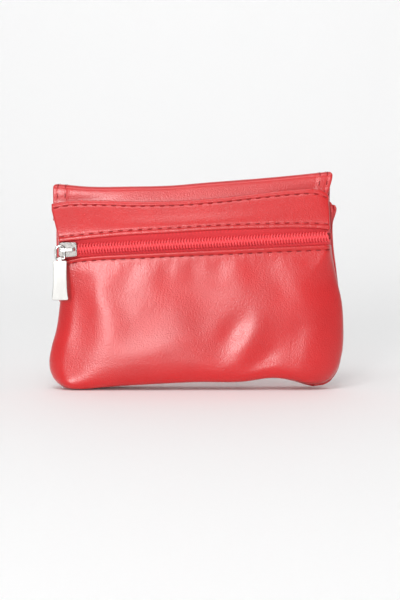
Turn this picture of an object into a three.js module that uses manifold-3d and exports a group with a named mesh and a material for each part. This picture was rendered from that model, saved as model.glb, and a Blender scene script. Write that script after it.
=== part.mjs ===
// Leather purse with a zipped pocket across its front and a flap that folds over its open top.
// Millimetres. +X runs to the right across the zipped front, +Y from that front to the flap's side, +Z up.
import * as THREE from "three";
import { mergeVertices } from "three/addons/utils/BufferGeometryUtils.js";
import Module from "manifold-3d";

const wasm = await Module();
wasm.setup();

// Layers
const LEATHER = 1.2; // thickness of the outer leather
const LINING = 0.4; // thickness of the lining cloth
const GAP = 0.3; // free space between neighbouring layers
const TOUCH = 0.05; // free space where metal sits on leather or metal
const SEAM = 0.7; // from the seam's middle plane to the edge of the front or rear panel
const DIVIDER = 0.8; // thickness of the divider between the two compartments
const LINING_MARGIN = 3.6; // from the outline of the purse to the edge of a flat lining

// Outline of the purse, seen from the front
const WAIST = 58.8; // half width at the zip
const CORNER = 13; // radius of the bottom corners
const BOTTOM_TAPER = 1.5; // how much shorter the bottom seam is than the edge of the base
const RISE = 0.05; // upward slope to the right of zip, top edge and fold
const ZIP_HEIGHT = 63; // zip's centre line at the middle of the purse
const LIP = 3.5; // from the zip's centre line to a leather lip
const BAND_TOP = 82.3; // top edge of the front band
const REAR_TOP = 77; // top edge of the rear panel
const DIVIDER_TOP = 81.6;
const LEFT_EDGE = { bulge: 5, bulgeHeight: 14, bulgeSpan: 13, flare: 3.4 };
const RIGHT_EDGE = { bulge: 5, bulgeHeight: 24, bulgeSpan: 20, flare: -1.2 };
const REAR_RIGHT_EDGE = { ...RIGHT_EDGE, flare: 1.8 };

// Depths, out from the edge of a panel
const BASE_FRONT = 5.4; // flat bottom of the front panel
const BASE_REAR = 5.8; // flat bottom of the rear panel
const FRONT_BELLY = 9.2;
const FRONT_ZIP = 7.5; // leather beside the zip
const FRONT_TOP = 3.2; // top edge of the band
const REAR_BELLY = 9.5;
const REAR_MOUTH = 8; // rear panel at its top edge
const COLUMNS = 20; // facets across a bowed panel
const ROWS = 18; // facets up a bowed panel
const POCKET_ROWS = 14; // the pocket's lining stops under the zip tape
const MAIN_ROWS = 17; // the main lining stops under the mouth's edge
const BEHIND_LEATHER = [LEATHER + GAP, LEATHER + GAP + LINING]; // both faces of a lining, from the outer face
const CENTRE = 1.9; // the seam lies this far in front of the middle of the whole depth

// Flap
const FLAP_LEFT = -61.2;
const FLAP_RIGHT = 58.4;
const FLAP_ROOT = { y: -2.4, z: BAND_TOP + 0.5 }; // outer face where the flap leaves the seam
const FOLD_TOP = { y: 5, z: 88.8 };
const SHOULDER = { y: 14.85, z: 78 }; // outer face where the hanging tongue begins
const TONGUE_END = 31;
const TONGUE_CORNER = 14;
const ROOT_BOTTOM = 74; // lower edge of the flap's sewn margin
const ROOT_HALF = 55; // half length of that margin

// Zip
const TAPE_FACE = -6.7; // front face of the tapes
const TAPE = 0.5;
const TAPE_INNER = 1.3; // free edge of a tape from the centre line
const TAPE_UPPER = 7.5; // hidden edge of the upper tape
const TAPE_LOWER = 9.5; // hidden edge of the lower tape
const TAPE_HALF = 58.4; // half length of the tapes between the lips
const TAPE_SEWN = 54.6; // half length behind the leather
const TAPE_STEP = 3.2; // where a tape goes under its lip
const COIL_PITCH = 1.226;
const COIL_WIRE = 0.46; // width of one loop
const COIL_HALF = 2; // outer edge of the coil from the centre line
const COIL_ROOT = 0.9; // where the loops leave the coil's sewn side
const COIL_TIP = 0.45; // how far the loops reach across the centre line
const COIL_THICK = 1.4;
const COIL_LIFT = 0.2; // from the tape to the coil
const COIL_START = -55.3;
const COIL_LOOPS = 91;

// Slider and pull
const SLIDER_AT = -54.5; // middle of the slider along the zip, with the zip closed
const SLIDER_LENGTH = 7.6;
const SLIDER_FRONT = 3.2; // half width at the end that opens the zip
const SLIDER_REAR = 3.05;
const PLATE = 0.8;
const PLATE_GAP = 0.35; // from a plate to the coil or tape
const FLANGE = 0.7;
const STRAP = 0.7;
const STRAP_HALF = 0.7;
const STRAP_ROOM = 2.2; // free height under the bridge
const FOOT_AT = -3.2; // foot of the bridge that the pull swings on
const FOOT = 0.9;
const FAR_FOOT_AT = 2.7;
const WIRE = 0.5; // radius of the pull's wire
const LOOP_HALF = 1.8; // from the middle of the loop to the middle of its wire
const LOOP_DROP = 3.7; // from the foot down to the loop's bottom bar
const LOOP_CORNER = 0.75;
const BAR_PLAY = 0.15; // free space round the bar inside the tab
const TAB_LENGTH = 18.3;
const TAB_ABOVE = 0.8; // tab's top edge over the bar
const TAB_TOP = 3.05;
const TAB_MIDDLE = 2.85;
const TAB_BOTTOM = 3.5;
const TAB_FRONT = 1.3; // tab's front face from the bar
const TAB_BACK = 0.55;
const KNUCKLE = 0.95; // radius of the hook round the bar
const NECK = 1.05; // half width of the neck that holds the bar
const NECK_LENGTH = 0.75; // from the bar down to the tab's full width

// Press stud
const SNAP_HEIGHT = 42;
const SHANK = 1.3;
const SHANK_HOLE = 1.7;
const POST_FLANGE = 3.6;
const STUD_FLANGE = 4;
const STUD_KNOB = 2.1;
const SOCKET_INNER = 2.8;
const SOCKET_OUTER = 4.8;
const CAP = 6;

// Materials
const LEATHER_RED = { color: 0xd8383f, roughness: 0.45, metalness: 0 };
const LINING_RED = { color: 0x9c2b32, roughness: 0.9, metalness: 0 };
const TAPE_RED = { color: 0xcf3a42, roughness: 0.85, metalness: 0 };
const COIL_RED = { color: 0xd9474d, roughness: 0.4, metalness: 0 };
const NICKEL = { color: 0xd9d9d6, roughness: 0.15, metalness: 1 };

const purse = new THREE.Group();
purse.position.y = -CENTRE;

function addPiece(parent, name, geometry, material) {
  const piece = new THREE.Mesh(geometry, new THREE.MeshStandardMaterial(material));
  piece.name = name;
  parent.add(piece);
}

function toSolid(geometry) {
  const bare = geometry.clone();
  bare.deleteAttribute("normal");
  bare.deleteAttribute("uv");
  const merged = mergeVertices(bare, 1e-4);
  const vertProperties = new Float32Array(merged.attributes.position.array);
  const triVerts = new Uint32Array(merged.index.array);
  return new wasm.Manifold(new wasm.Mesh({ numProp: 3, vertProperties, triVerts }));
}

function toGeometry(solid) {
  const mesh = solid.getMesh();
  const geometry = new THREE.BufferGeometry();
  geometry.setAttribute("position", new THREE.BufferAttribute(mesh.vertProperties, 3));
  geometry.setIndex(new THREE.BufferAttribute(mesh.triVerts, 1));
  geometry.computeVertexNormals();
  return geometry;
}

// Closed sheet: an outer and an inner face over one grid, joined round the rim. Across the sheet u runs
// from -1 to 1 and is closest near both sides; along it v runs from 0 to 1.
function sheet(columns, rows, face, outerInset, innerInset) {
  const positions = [];
  const index = [];
  for (const inset of [outerInset, innerInset]) {
    for (let row = 0; row <= rows; row += 1) {
      for (let column = 0; column <= columns; column += 1) {
        const u = -Math.cos((Math.PI * column) / columns);
        positions.push(...face(u, row / rows, inset).toArray());
      }
    }
  }
  const layer = (columns + 1) * (rows + 1);
  const at = (column, row) => row * (columns + 1) + column;
  for (let row = 0; row < rows; row += 1) {
    for (let column = 0; column < columns; column += 1) {
      const a = at(column, row);
      const b = at(column + 1, row);
      const c = at(column + 1, row + 1);
      const d = at(column, row + 1);
      index.push(a, b, c, a, c, d);
      index.push(layer + a, layer + c, layer + b, layer + a, layer + d, layer + c);
    }
  }
  const rim = [];
  for (let column = 0; column < columns; column += 1) rim.push(at(column, 0));
  for (let row = 0; row < rows; row += 1) rim.push(at(columns, row));
  for (let column = columns; column > 0; column -= 1) rim.push(at(column, rows));
  for (let row = rows; row > 0; row -= 1) rim.push(at(0, row));
  rim.forEach((here, place) => {
    const next = rim[(place + 1) % rim.length];
    index.push(here, layer + here, layer + next, here, layer + next, next);
  });
  const geometry = new THREE.BufferGeometry();
  geometry.setAttribute("position", new THREE.Float32BufferAttribute(positions, 3));
  geometry.setIndex(index);
  return turnedOut(geometry);
}

// Swaps the corners of every triangle if the faces look inward.
function turnedOut(geometry) {
  const place = geometry.attributes.position;
  const index = geometry.index;
  const [a, b, c] = [new THREE.Vector3(), new THREE.Vector3(), new THREE.Vector3()];
  let volume = 0;
  for (let corner = 0; corner < index.count; corner += 3) {
    a.fromBufferAttribute(place, index.getX(corner));
    b.fromBufferAttribute(place, index.getX(corner + 1));
    c.fromBufferAttribute(place, index.getX(corner + 2));
    volume += a.dot(b.cross(c));
  }
  if (volume < 0) {
    for (let corner = 0; corner < index.count; corner += 3) {
      const second = index.getX(corner + 1);
      index.setX(corner + 1, index.getX(corner + 2));
      index.setX(corner + 2, second);
    }
  }
  geometry.computeVertexNormals();
  return geometry;
}

// Solid of revolution about the Y axis through (0, 0, height), from a closed profile of [radius, y] points.
function turned(profile, height) {
  const points = profile.map(([radius, y]) => new THREE.Vector2(radius, y));
  const geometry = new THREE.LatheGeometry([...points, points[0]], 24);
  geometry.translate(0, 0, height);
  return geometry;
}

function bored(geometry, radius, height) {
  const drill = new THREE.CylinderGeometry(radius, radius, 60, 16);
  drill.translate(0, 0, height);
  return toGeometry(toSolid(geometry).subtract(toSolid(drill)));
}

function lift(x, z) {
  return RISE * x * Math.min(1, z / ZIP_HEIGHT);
}

// Half width of the purse at a height: rounded bottom corner, bulge low down, flare to the top.
function halfWidth(edge, z) {
  const low = edge.bulge * Math.exp(-(((z - edge.bulgeHeight) / edge.bulgeSpan) ** 2));
  const high = edge.flare * Math.max(0, (z - ZIP_HEIGHT) / (BAND_TOP - ZIP_HEIGHT)) ** 2;
  const corner = z < CORNER ? CORNER - Math.sqrt(CORNER ** 2 - (CORNER - z) ** 2) : 0;
  return WAIST + low + high - corner;
}

// Face of a bowed panel. The profile holds depth and height; the panel bends back to the seam at its sides.
// It reaches the given share of the profile's length.
function bowed(panel, share) {
  return (u, v, inset) => {
    const along = share * v;
    const place = panel.profile.getPoint(along);
    const tangent = panel.profile.getTangent(along);
    const depth = place.x - tangent.y * inset;
    const height = place.y + tangent.x * inset;
    const taper = BOTTOM_TAPER * Math.max(0, 1 - place.x / panel.base) * (place.y < CORNER ? 1 : 0);
    const reach = halfWidth(u < 0 ? panel.left : panel.right, place.y) - inset - taper;
    const radius = panel.sideRadius(place.y) - inset;
    const fromEdge = Math.min(1, (reach * (1 - Math.abs(u))) / radius);
    const bow = Math.sqrt(1 - (1 - fromEdge) ** 2);
    const x = reach * u;
    return new THREE.Vector3(x, panel.side * (SEAM + depth * bow), height + lift(x, height));
  };
}

// Face of a flat layer in the purse's outline, at depth y and drawn in from the outline by margin.
function flat(y, thickness, margin, top) {
  return (u, v, inset) => {
    const z = margin + (top - margin) * v ** 1.6;
    const x = (halfWidth(u < 0 ? LEFT_EDGE : RIGHT_EDGE, z) - margin) * u;
    return new THREE.Vector3(x, y + inset * thickness, z + lift(x, z));
  };
}

// Face of a flap part along a profile of y and height, with its last corners rounded.
function draped(profile, corner) {
  const length = profile.getLength();
  return (u, v, inset) => {
    const place = profile.getPoint(v);
    const tangent = profile.getTangent(v);
    const fromEnd = Math.min(corner, length * (1 - v));
    const cut = corner - Math.sqrt(corner ** 2 - (corner - fromEnd) ** 2);
    const middle = (FLAP_LEFT + FLAP_RIGHT) / 2;
    const x = middle + u * ((FLAP_RIGHT - FLAP_LEFT) / 2 - cut);
    const y = place.x + tangent.y * inset;
    const z = place.y - tangent.x * inset;
    return new THREE.Vector3(x, y, z + RISE * x);
  };
}

function sideRadius(z) {
  return THREE.MathUtils.lerp(16, 2.5, THREE.MathUtils.smoothstep(z, 22, 56));
}

// Front of the zipped pocket
const lowerProfile = new THREE.Path();
lowerProfile.moveTo(0, 0);
lowerProfile.lineTo(BASE_FRONT, 0);
lowerProfile.bezierCurveTo(BASE_FRONT + 2.4, 0, FRONT_BELLY, 4, FRONT_BELLY, 17);
lowerProfile.bezierCurveTo(FRONT_BELLY, 32, FRONT_ZIP, 38, FRONT_ZIP, ZIP_HEIGHT - LIP);
const lowerPanel = {
  profile: lowerProfile,
  base: BASE_FRONT,
  left: LEFT_EDGE,
  right: RIGHT_EDGE,
  side: -1,
  sideRadius,
};
addPiece(purse, "front_lower_panel", sheet(COLUMNS, ROWS, bowed(lowerPanel, 1), 0, LEATHER), LEATHER_RED);
const pocketFace = bowed(lowerPanel, POCKET_ROWS / ROWS);
addPiece(purse, "pocket_lining_front", sheet(COLUMNS, POCKET_ROWS, pocketFace, ...BEHIND_LEATHER), LINING_RED);

const bandProfile = new THREE.Path();
bandProfile.moveTo(FRONT_ZIP, ZIP_HEIGHT + LIP);
bandProfile.lineTo(FRONT_ZIP, ZIP_HEIGHT + LIP + 5);
bandProfile.bezierCurveTo(FRONT_ZIP, BAND_TOP - 6, FRONT_TOP + 1.3, BAND_TOP - 3, FRONT_TOP, BAND_TOP);
const band = { ...lowerPanel, profile: bandProfile };
addPiece(purse, "front_upper_band", sheet(COLUMNS, 8, bowed(band, 1), 0, LEATHER), LEATHER_RED);

// Layers between the pockets
const backLining = flat(-SEAM - LINING, LINING, LINING_MARGIN, ROOT_BOTTOM - 0.7);
addPiece(purse, "pocket_lining_back", sheet(2, 16, backLining, 0, 1), LINING_RED);
addPiece(purse, "pocket_divider", sheet(2, 18, flat(-DIVIDER / 2, DIVIDER, 0.4, DIVIDER_TOP), 0, 1), LEATHER_RED);
const mainFront = flat(SEAM, LINING, LINING_MARGIN, DIVIDER_TOP - 3);
addPiece(purse, "main_lining_front", sheet(2, 16, mainFront, 0, 1), LINING_RED);

// Rear panel of the main compartment
const rearProfile = new THREE.Path();
rearProfile.moveTo(0, 0);
rearProfile.lineTo(BASE_REAR, 0);
rearProfile.bezierCurveTo(BASE_REAR + 2.4, 0, REAR_BELLY, 4, REAR_BELLY, 17);
rearProfile.lineTo(REAR_BELLY, 58);
rearProfile.bezierCurveTo(REAR_BELLY, 66, REAR_MOUTH + 0.5, REAR_TOP - 5, REAR_MOUTH, REAR_TOP);
const rearPanel = {
  profile: rearProfile,
  base: BASE_REAR,
  left: LEFT_EDGE,
  right: REAR_RIGHT_EDGE,
  side: 1,
  sideRadius: (z) => THREE.MathUtils.lerp(16, 9, THREE.MathUtils.smoothstep(z, 30, REAR_TOP)),
};
const rearLeather = sheet(COLUMNS, ROWS, bowed(rearPanel, 1), 0, LEATHER);
addPiece(purse, "rear_panel", bored(rearLeather, SHANK_HOLE, SNAP_HEIGHT), LEATHER_RED);
const rearLining = sheet(COLUMNS, MAIN_ROWS, bowed(rearPanel, MAIN_ROWS / ROWS), ...BEHIND_LEATHER);
addPiece(purse, "main_lining_rear", bored(rearLining, SHANK_HOLE, SNAP_HEIGHT), LINING_RED);

// Flap: sewn margin, fold over the mouth, tongue that hangs behind
const rootFace = (u, v, inset) => {
  const x = u * ROOT_HALF;
  const z = THREE.MathUtils.lerp(ROOT_BOTTOM, BAND_TOP - 0.2, v);
  return new THREE.Vector3(x, FLAP_ROOT.y + inset, z + RISE * x);
};
addPiece(purse, "flap_root", sheet(2, 2, rootFace, 0, LEATHER), LEATHER_RED);

const foldProfile = new THREE.Path();
foldProfile.moveTo(FLAP_ROOT.y, FLAP_ROOT.z);
foldProfile.bezierCurveTo(FLAP_ROOT.y, 86.6, FOLD_TOP.y - 5, FOLD_TOP.z, FOLD_TOP.y, FOLD_TOP.z);
foldProfile.bezierCurveTo(FOLD_TOP.y + 6, FOLD_TOP.z, SHOULDER.y, 85, SHOULDER.y, SHOULDER.z);
const foldFace = draped(foldProfile, 0);
addPiece(purse, "flap_fold_leather", sheet(2, 16, foldFace, 0, LEATHER), LEATHER_RED);
addPiece(purse, "flap_fold_lining", sheet(2, 16, foldFace, ...BEHIND_LEATHER), LINING_RED);

const tongueProfile = new THREE.Path();
tongueProfile.moveTo(SHOULDER.y, SHOULDER.z - GAP);
tongueProfile.lineTo(SHOULDER.y, TONGUE_END);
const tongueFace = draped(tongueProfile, TONGUE_CORNER);
const tongueLeather = sheet(2, 30, tongueFace, 0, LEATHER);
addPiece(purse, "flap_tongue_leather", bored(tongueLeather, SHANK_HOLE, SNAP_HEIGHT), LEATHER_RED);
const tongueLining = sheet(2, 30, tongueFace, ...BEHIND_LEATHER);
addPiece(purse, "flap_tongue_lining", bored(tongueLining, SHANK_HOLE, SNAP_HEIGHT), LINING_RED);

// Press stud: post and stud on the rear panel, cap and socket on the tongue
const rearFace = SEAM + REAR_BELLY;
const rearInside = rearFace - LEATHER - GAP - LINING;
const tongueInside = SHOULDER.y - LEATHER - GAP - LINING;
const postFlange = rearInside - TOUCH;
const postProfile = [
  [0, postFlange - 0.5],
  [POST_FLANGE, postFlange - 0.5],
  [POST_FLANGE, postFlange],
  [SHANK, postFlange],
  [SHANK, rearFace],
  [0, rearFace],
];
addPiece(purse, "snap_post", turned(postProfile, SNAP_HEIGHT), NICKEL);
const studBase = rearFace + TOUCH;
const studProfile = [
  [0, studBase],
  [STUD_FLANGE, studBase],
  [STUD_FLANGE, studBase + 0.5],
  [STUD_KNOB - 0.3, studBase + 0.5],
  [STUD_KNOB, studBase + 1.2],
  [STUD_KNOB - 0.5, studBase + 1.9],
  [0, studBase + 1.95],
];
addPiece(purse, "snap_stud", turned(studProfile, SNAP_HEIGHT), NICKEL);
const socketFloor = tongueInside - TOUCH;
const socketProfile = [
  [0, socketFloor - 0.3],
  [SOCKET_INNER, socketFloor - 0.3],
  [SOCKET_INNER, socketFloor - 1.9],
  [SOCKET_OUTER - 0.4, socketFloor - 1.9],
  [SOCKET_OUTER, socketFloor - 1.5],
  [SOCKET_OUTER, socketFloor],
  [0, socketFloor],
];
addPiece(purse, "snap_socket", turned(socketProfile, SNAP_HEIGHT), NICKEL);
const capBase = SHOULDER.y + TOUCH;
const capProfile = [
  [0, tongueInside],
  [SHANK, tongueInside],
  [SHANK, capBase],
  [CAP, capBase],
  [CAP, capBase + 0.4],
  [CAP * 0.85, capBase + 0.95],
  [CAP * 0.5, capBase + 1.25],
  [0, capBase + 1.3],
];
addPiece(purse, "snap_cap", turned(capProfile, SNAP_HEIGHT), NICKEL);

// Zip, drawn in a group of its own: local X along the zip, local Z across it, local Y into the pocket
const zip = new THREE.Group();
zip.position.set(0, TAPE_FACE, ZIP_HEIGHT);
zip.rotation.y = -Math.atan(RISE);
zip.updateMatrix();
purse.add(zip);

// Solid from an outline in X and Z, between two depths.
function slab(outline, front, back) {
  const shape = new THREE.Shape(outline.map(([x, z]) => new THREE.Vector2(x, z)));
  const geometry = new THREE.ExtrudeGeometry(shape, { depth: back - front, bevelEnabled: false });
  geometry.rotateX(Math.PI / 2);
  geometry.translate(0, back, 0);
  return geometry;
}

function block(x0, x1, y0, y1, z0, z1) {
  const geometry = new THREE.BoxGeometry(x1 - x0, y1 - y0, z1 - z0);
  geometry.translate((x0 + x1) / 2, (y0 + y1) / 2, (z0 + z1) / 2);
  return geometry;
}

// Half of the tape: side is 1 above the centre line and -1 below it.
function tapeHalf(side, hiddenEdge) {
  const outline = [
    [-TAPE_HALF, side * TAPE_INNER],
    [TAPE_HALF, side * TAPE_INNER],
    [TAPE_HALF, side * TAPE_STEP],
    [TAPE_SEWN, side * TAPE_STEP],
    [TAPE_SEWN, side * hiddenEdge],
    [-TAPE_SEWN, side * hiddenEdge],
    [-TAPE_SEWN, side * TAPE_STEP],
    [-TAPE_HALF, side * TAPE_STEP],
  ];
  return slab(outline, 0, TAPE);
}
addPiece(zip, "zip_tape_upper", tapeHalf(1, TAPE_UPPER), TAPE_RED);
addPiece(zip, "zip_tape_lower", tapeHalf(-1, TAPE_LOWER), TAPE_RED);

// Row of loops: side is 1 for the upper row and -1 for the lower one, which sits half a pitch further on.
function coilRow(side) {
  const outline = [];
  const start = COIL_START + (side > 0 ? 0 : COIL_PITCH / 2);
  const end = start + (COIL_LOOPS - 1) * COIL_PITCH + COIL_WIRE;
  for (let loop = 0; loop < COIL_LOOPS; loop += 1) {
    const x = start + loop * COIL_PITCH;
    if (loop > 0) outline.push([x, side * COIL_ROOT]);
    outline.push([x, -side * COIL_TIP], [x + COIL_WIRE, -side * COIL_TIP]);
    if (loop < COIL_LOOPS - 1) outline.push([x + COIL_WIRE, side * COIL_ROOT]);
  }
  outline.push([end, side * COIL_HALF], [start, side * COIL_HALF]);
  return slab(outline, -COIL_LIFT - COIL_THICK, -COIL_LIFT);
}
addPiece(zip, "zip_coil_upper", coilRow(1), COIL_RED);
addPiece(zip, "zip_coil_lower", coilRow(-1), COIL_RED);

// Slider: two plates joined by a wedge, with flanges that hold the coil
const slider = new THREE.Group();
slider.position.x = SLIDER_AT;
slider.updateMatrix();
zip.add(slider);
const half = SLIDER_LENGTH / 2;
const shield = [
  [-half, SLIDER_FRONT - 1.2],
  [-half + 0.5, SLIDER_FRONT - 0.3],
  [-half + 1.6, SLIDER_FRONT],
  [half - 0.8, SLIDER_REAR],
  [half, SLIDER_REAR - 0.8],
  [half, -SLIDER_REAR + 0.8],
  [half - 0.8, -SLIDER_REAR],
  [-half + 1.6, -SLIDER_FRONT],
  [-half + 0.5, -SLIDER_FRONT + 0.3],
  [-half, -SLIDER_FRONT + 1.2],
];
const plateBack = -COIL_LIFT - COIL_THICK - PLATE_GAP;
const plateFront = plateBack - PLATE;
const innerPlate = TAPE + PLATE_GAP;
const wedge = [
  [-half + 0.1, 0.6],
  [-half + 1.2, 0.95],
  [-1.3, 0.1],
  [-1.3, -0.1],
  [-half + 1.2, -0.95],
  [-half + 0.1, -0.6],
];
let casting = toSolid(slab(shield, plateFront, plateBack));
casting = casting.add(toSolid(slab(shield, innerPlate, innerPlate + PLATE)));
casting = casting.add(toSolid(slab(wedge, plateFront + 0.2, innerPlate + 0.2)));
for (const side of [-1, 1]) {
  const inner = side * (SLIDER_REAR - FLANGE);
  const outer = side * SLIDER_REAR;
  const low = Math.min(inner, outer);
  const high = Math.max(inner, outer);
  const flange = block(-half + 1.8, half - 0.9, plateFront + 0.2, -PLATE_GAP, low, high);
  casting = casting.add(toSolid(flange));
}
addPiece(slider, "slider_body", toGeometry(casting), NICKEL);

// Bridge over the slider's face, drawn with local X along the zip and height off the plate
const bridgeShape = new THREE.Shape();
const strapTop = STRAP_ROOM + STRAP;
const left = FOOT_AT - FOOT / 2;
const right = FAR_FOOT_AT + STRAP / 2;
bridgeShape.moveTo(left, 0);
bridgeShape.lineTo(left, strapTop - 1);
bridgeShape.quadraticCurveTo(left, strapTop, left + 1, strapTop);
bridgeShape.lineTo(right - 1, strapTop);
bridgeShape.quadraticCurveTo(right, strapTop, right, strapTop - 1);
bridgeShape.lineTo(right, 0);
bridgeShape.lineTo(right - STRAP, 0);
bridgeShape.lineTo(right - STRAP, STRAP_ROOM - 0.4);
bridgeShape.quadraticCurveTo(right - STRAP, STRAP_ROOM, right - STRAP - 0.4, STRAP_ROOM);
bridgeShape.lineTo(left + FOOT + 0.3, STRAP_ROOM);
bridgeShape.quadraticCurveTo(left + FOOT, STRAP_ROOM, left + FOOT, STRAP_ROOM - 0.3);
bridgeShape.lineTo(left + FOOT, 0);
bridgeShape.closePath();
const bridge = new THREE.ExtrudeGeometry(bridgeShape, {
  depth: 2 * STRAP_HALF,
  bevelEnabled: false,
  curveSegments: 6,
});
bridge.translate(0, 0, -STRAP_HALF);
bridge.rotateX(Math.PI);
bridge.translate(0, plateFront - TOUCH, 0);
addPiece(slider, "slider_bridge", bridge, NICKEL);

// Pull, which hangs straight down from the bridge's foot
const pivot = new THREE.Vector3(FOOT_AT, plateFront - TOUCH - STRAP_ROOM / 2, 0);
pivot.applyMatrix4(slider.matrix).applyMatrix4(zip.matrix);
const pull = new THREE.Group();
pull.position.copy(pivot);
purse.add(pull);

class WireLoop extends THREE.Curve {
  constructor(outline) {
    super();
    this.outline = outline;
  }

  getPoint(t) {
    const place = this.outline.getPoint(t);
    return new THREE.Vector3(place.x, 0, place.y);
  }
}
const loopOutline = new THREE.Path();
loopOutline.moveTo(LOOP_HALF, 0);
loopOutline.absarc(0, 0, LOOP_HALF, 0, Math.PI, false);
loopOutline.lineTo(-LOOP_HALF, -LOOP_DROP + LOOP_CORNER);
loopOutline.absarc(-LOOP_HALF + LOOP_CORNER, -LOOP_DROP + LOOP_CORNER, LOOP_CORNER, Math.PI, 1.5 * Math.PI, false);
loopOutline.lineTo(LOOP_HALF - LOOP_CORNER, -LOOP_DROP);
loopOutline.absarc(LOOP_HALF - LOOP_CORNER, -LOOP_DROP + LOOP_CORNER, LOOP_CORNER, 1.5 * Math.PI, 2 * Math.PI, false);
loopOutline.lineTo(LOOP_HALF, 0);
addPiece(pull, "pull_bail", new THREE.TubeGeometry(new WireLoop(loopOutline), 44, WIRE, 8, true), NICKEL);

// Tab: a thick plate whose narrow neck is hooked round the loop's bar, so that it can lift past the legs
const tabTop = -LOOP_DROP + TAB_ABOVE;
const tabEnd = tabTop - TAB_LENGTH;
const tabShape = new THREE.Shape();
tabShape.moveTo(-TAB_TOP, tabTop);
tabShape.quadraticCurveTo(-TAB_MIDDLE, tabTop - 3, -TAB_MIDDLE, tabTop - 7);
tabShape.quadraticCurveTo(-TAB_MIDDLE, tabEnd + 5, -TAB_BOTTOM, tabEnd + 0.8);
tabShape.quadraticCurveTo(-TAB_BOTTOM, tabEnd, -TAB_BOTTOM + 0.8, tabEnd);
tabShape.lineTo(TAB_BOTTOM - 0.8, tabEnd);
tabShape.quadraticCurveTo(TAB_BOTTOM, tabEnd, TAB_BOTTOM, tabEnd + 0.8);
tabShape.quadraticCurveTo(TAB_MIDDLE, tabEnd + 5, TAB_MIDDLE, tabTop - 7);
tabShape.quadraticCurveTo(TAB_MIDDLE, tabTop - 3, TAB_TOP, tabTop);
const tabOutline = tabShape.getPoints(5).map((place) => place.toArray());
let tab = toSolid(slab(tabOutline, -TAB_FRONT, TAB_BACK));
const knuckle = new THREE.CylinderGeometry(KNUCKLE, KNUCKLE, 2 * NECK - 0.2, 20);
knuckle.rotateZ(Math.PI / 2);
knuckle.translate(0, 0, -LOOP_DROP);
tab = tab.add(toSolid(knuckle));
const bore = new THREE.CylinderGeometry(WIRE + BAR_PLAY, WIRE + BAR_PLAY, 2 * TAB_TOP, 20);
bore.rotateZ(Math.PI / 2);
bore.translate(0, 0, -LOOP_DROP);
tab = tab.subtract(toSolid(bore));
for (const side of [-1, 1]) {
  const low = Math.min(side * NECK, side * (TAB_TOP + 1));
  const high = Math.max(side * NECK, side * (TAB_TOP + 1));
  const room = block(low, high, -TAB_FRONT - 1, KNUCKLE + 1, -LOOP_DROP - NECK_LENGTH, tabTop + 1);
  tab = tab.subtract(toSolid(room));
}
addPiece(pull, "pull_tab", toGeometry(tab), NICKEL);

export default purse;
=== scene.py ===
"""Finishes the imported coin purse: soft leather, linings, sewing, a coil zip, a press stud and a studio."""

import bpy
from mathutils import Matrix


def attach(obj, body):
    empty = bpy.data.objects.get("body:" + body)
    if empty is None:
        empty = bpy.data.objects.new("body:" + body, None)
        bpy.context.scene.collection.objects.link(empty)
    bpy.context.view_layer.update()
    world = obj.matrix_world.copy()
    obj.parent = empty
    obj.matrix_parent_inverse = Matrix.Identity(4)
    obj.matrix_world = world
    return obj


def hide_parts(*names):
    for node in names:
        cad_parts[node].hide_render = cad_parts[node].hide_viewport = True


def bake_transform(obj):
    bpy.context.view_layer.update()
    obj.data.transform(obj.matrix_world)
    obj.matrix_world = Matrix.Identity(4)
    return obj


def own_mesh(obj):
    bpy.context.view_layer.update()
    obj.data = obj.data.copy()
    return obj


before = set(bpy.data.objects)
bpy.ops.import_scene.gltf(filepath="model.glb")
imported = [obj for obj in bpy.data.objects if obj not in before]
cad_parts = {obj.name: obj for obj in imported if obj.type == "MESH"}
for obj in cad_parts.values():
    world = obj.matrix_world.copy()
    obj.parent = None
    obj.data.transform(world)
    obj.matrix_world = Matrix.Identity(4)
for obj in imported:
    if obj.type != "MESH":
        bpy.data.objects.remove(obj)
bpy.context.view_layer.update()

import copy
import functools
import math

import bpy
import numpy as np

bl_info = {
    "name": "Flap-over Coin Purse",
    "version": (1, 0, 0),
    "blender": (4, 5, 0),
    "location": "3D View > Sidebar > Purse",
    "description": "Dresses the packed coin purse in soft leather with sewing, a coil zip and a studio",
    "category": "Object",
}

MM = 0.001
TINY = 1e-9

# Main lines of the purse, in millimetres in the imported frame
SEAM_Y = -1.9  # middle of the divider that front and rear are sewn to
SEAM = 0.7  # from there to the sewn edge of a panel
RISE = 0.05  # how fast zip, top edge and flap climb to the right
DIVIDER_THICKNESS = 0.8
DIVIDER_TOP = 80.4
POCKET_TOP = 59.8
POCKET_LEFT_ROUND = 7.0  # roundness of the pocket's sides
POCKET_RIGHT_ROUND = 18.0
LIP_DEPTH = 7.5  # from the seam to the edges on both sides of the zip
LIP_ROUND = 3.0
BAND_FOOT = 66.2
REAR_INSET = 0.4  # from the front's left side to the rear's
CREASE = -42.5  # where the pocket's front turns away to the left
ARCH_HEIGHTS = (3, 30)  # the wave of the foot fades out between these heights
WEAR = 1.2  # width of the worn rim along the edges of leather

# Flap
FLAP_LEFT = -61.2
FLAP_RIGHT = 58.4
FLAP_END = 31.0
FLAP_CORNER = 14.0
FLAP_TOP = 88.9
FLAP_ROUND = 1.2  # roundness of the fold's two ends
FLAP_HALF = (FLAP_RIGHT - FLAP_LEFT) / 2
FLAP_FRONT = 0.35  # share of the flap's length that faces the front
ROOT_Y = -4.3
TONGUE_Y = 12.95
TONGUE_TOP = 77.7  # where the tongue starts to hang straight
SHOULDER = 80.0  # height at which the flap's fold becomes its tongue
ROOT_NARROWING = 2.2  # how much shorter the root is at its right end
SWAY = 0.7  # half of how far the tongue's sides stand off
TUCK = 0.6  # how far the fold draws in behind the band's two ends
STUD_Z = 42

# Linings
GAP = 0.3  # from leather to lining
LINING_FOOT = 3.5
LINING_INSET = 3.6
POCKET_LINING_Y = -3.0
MAIN_LINING_Y = -1.2

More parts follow.
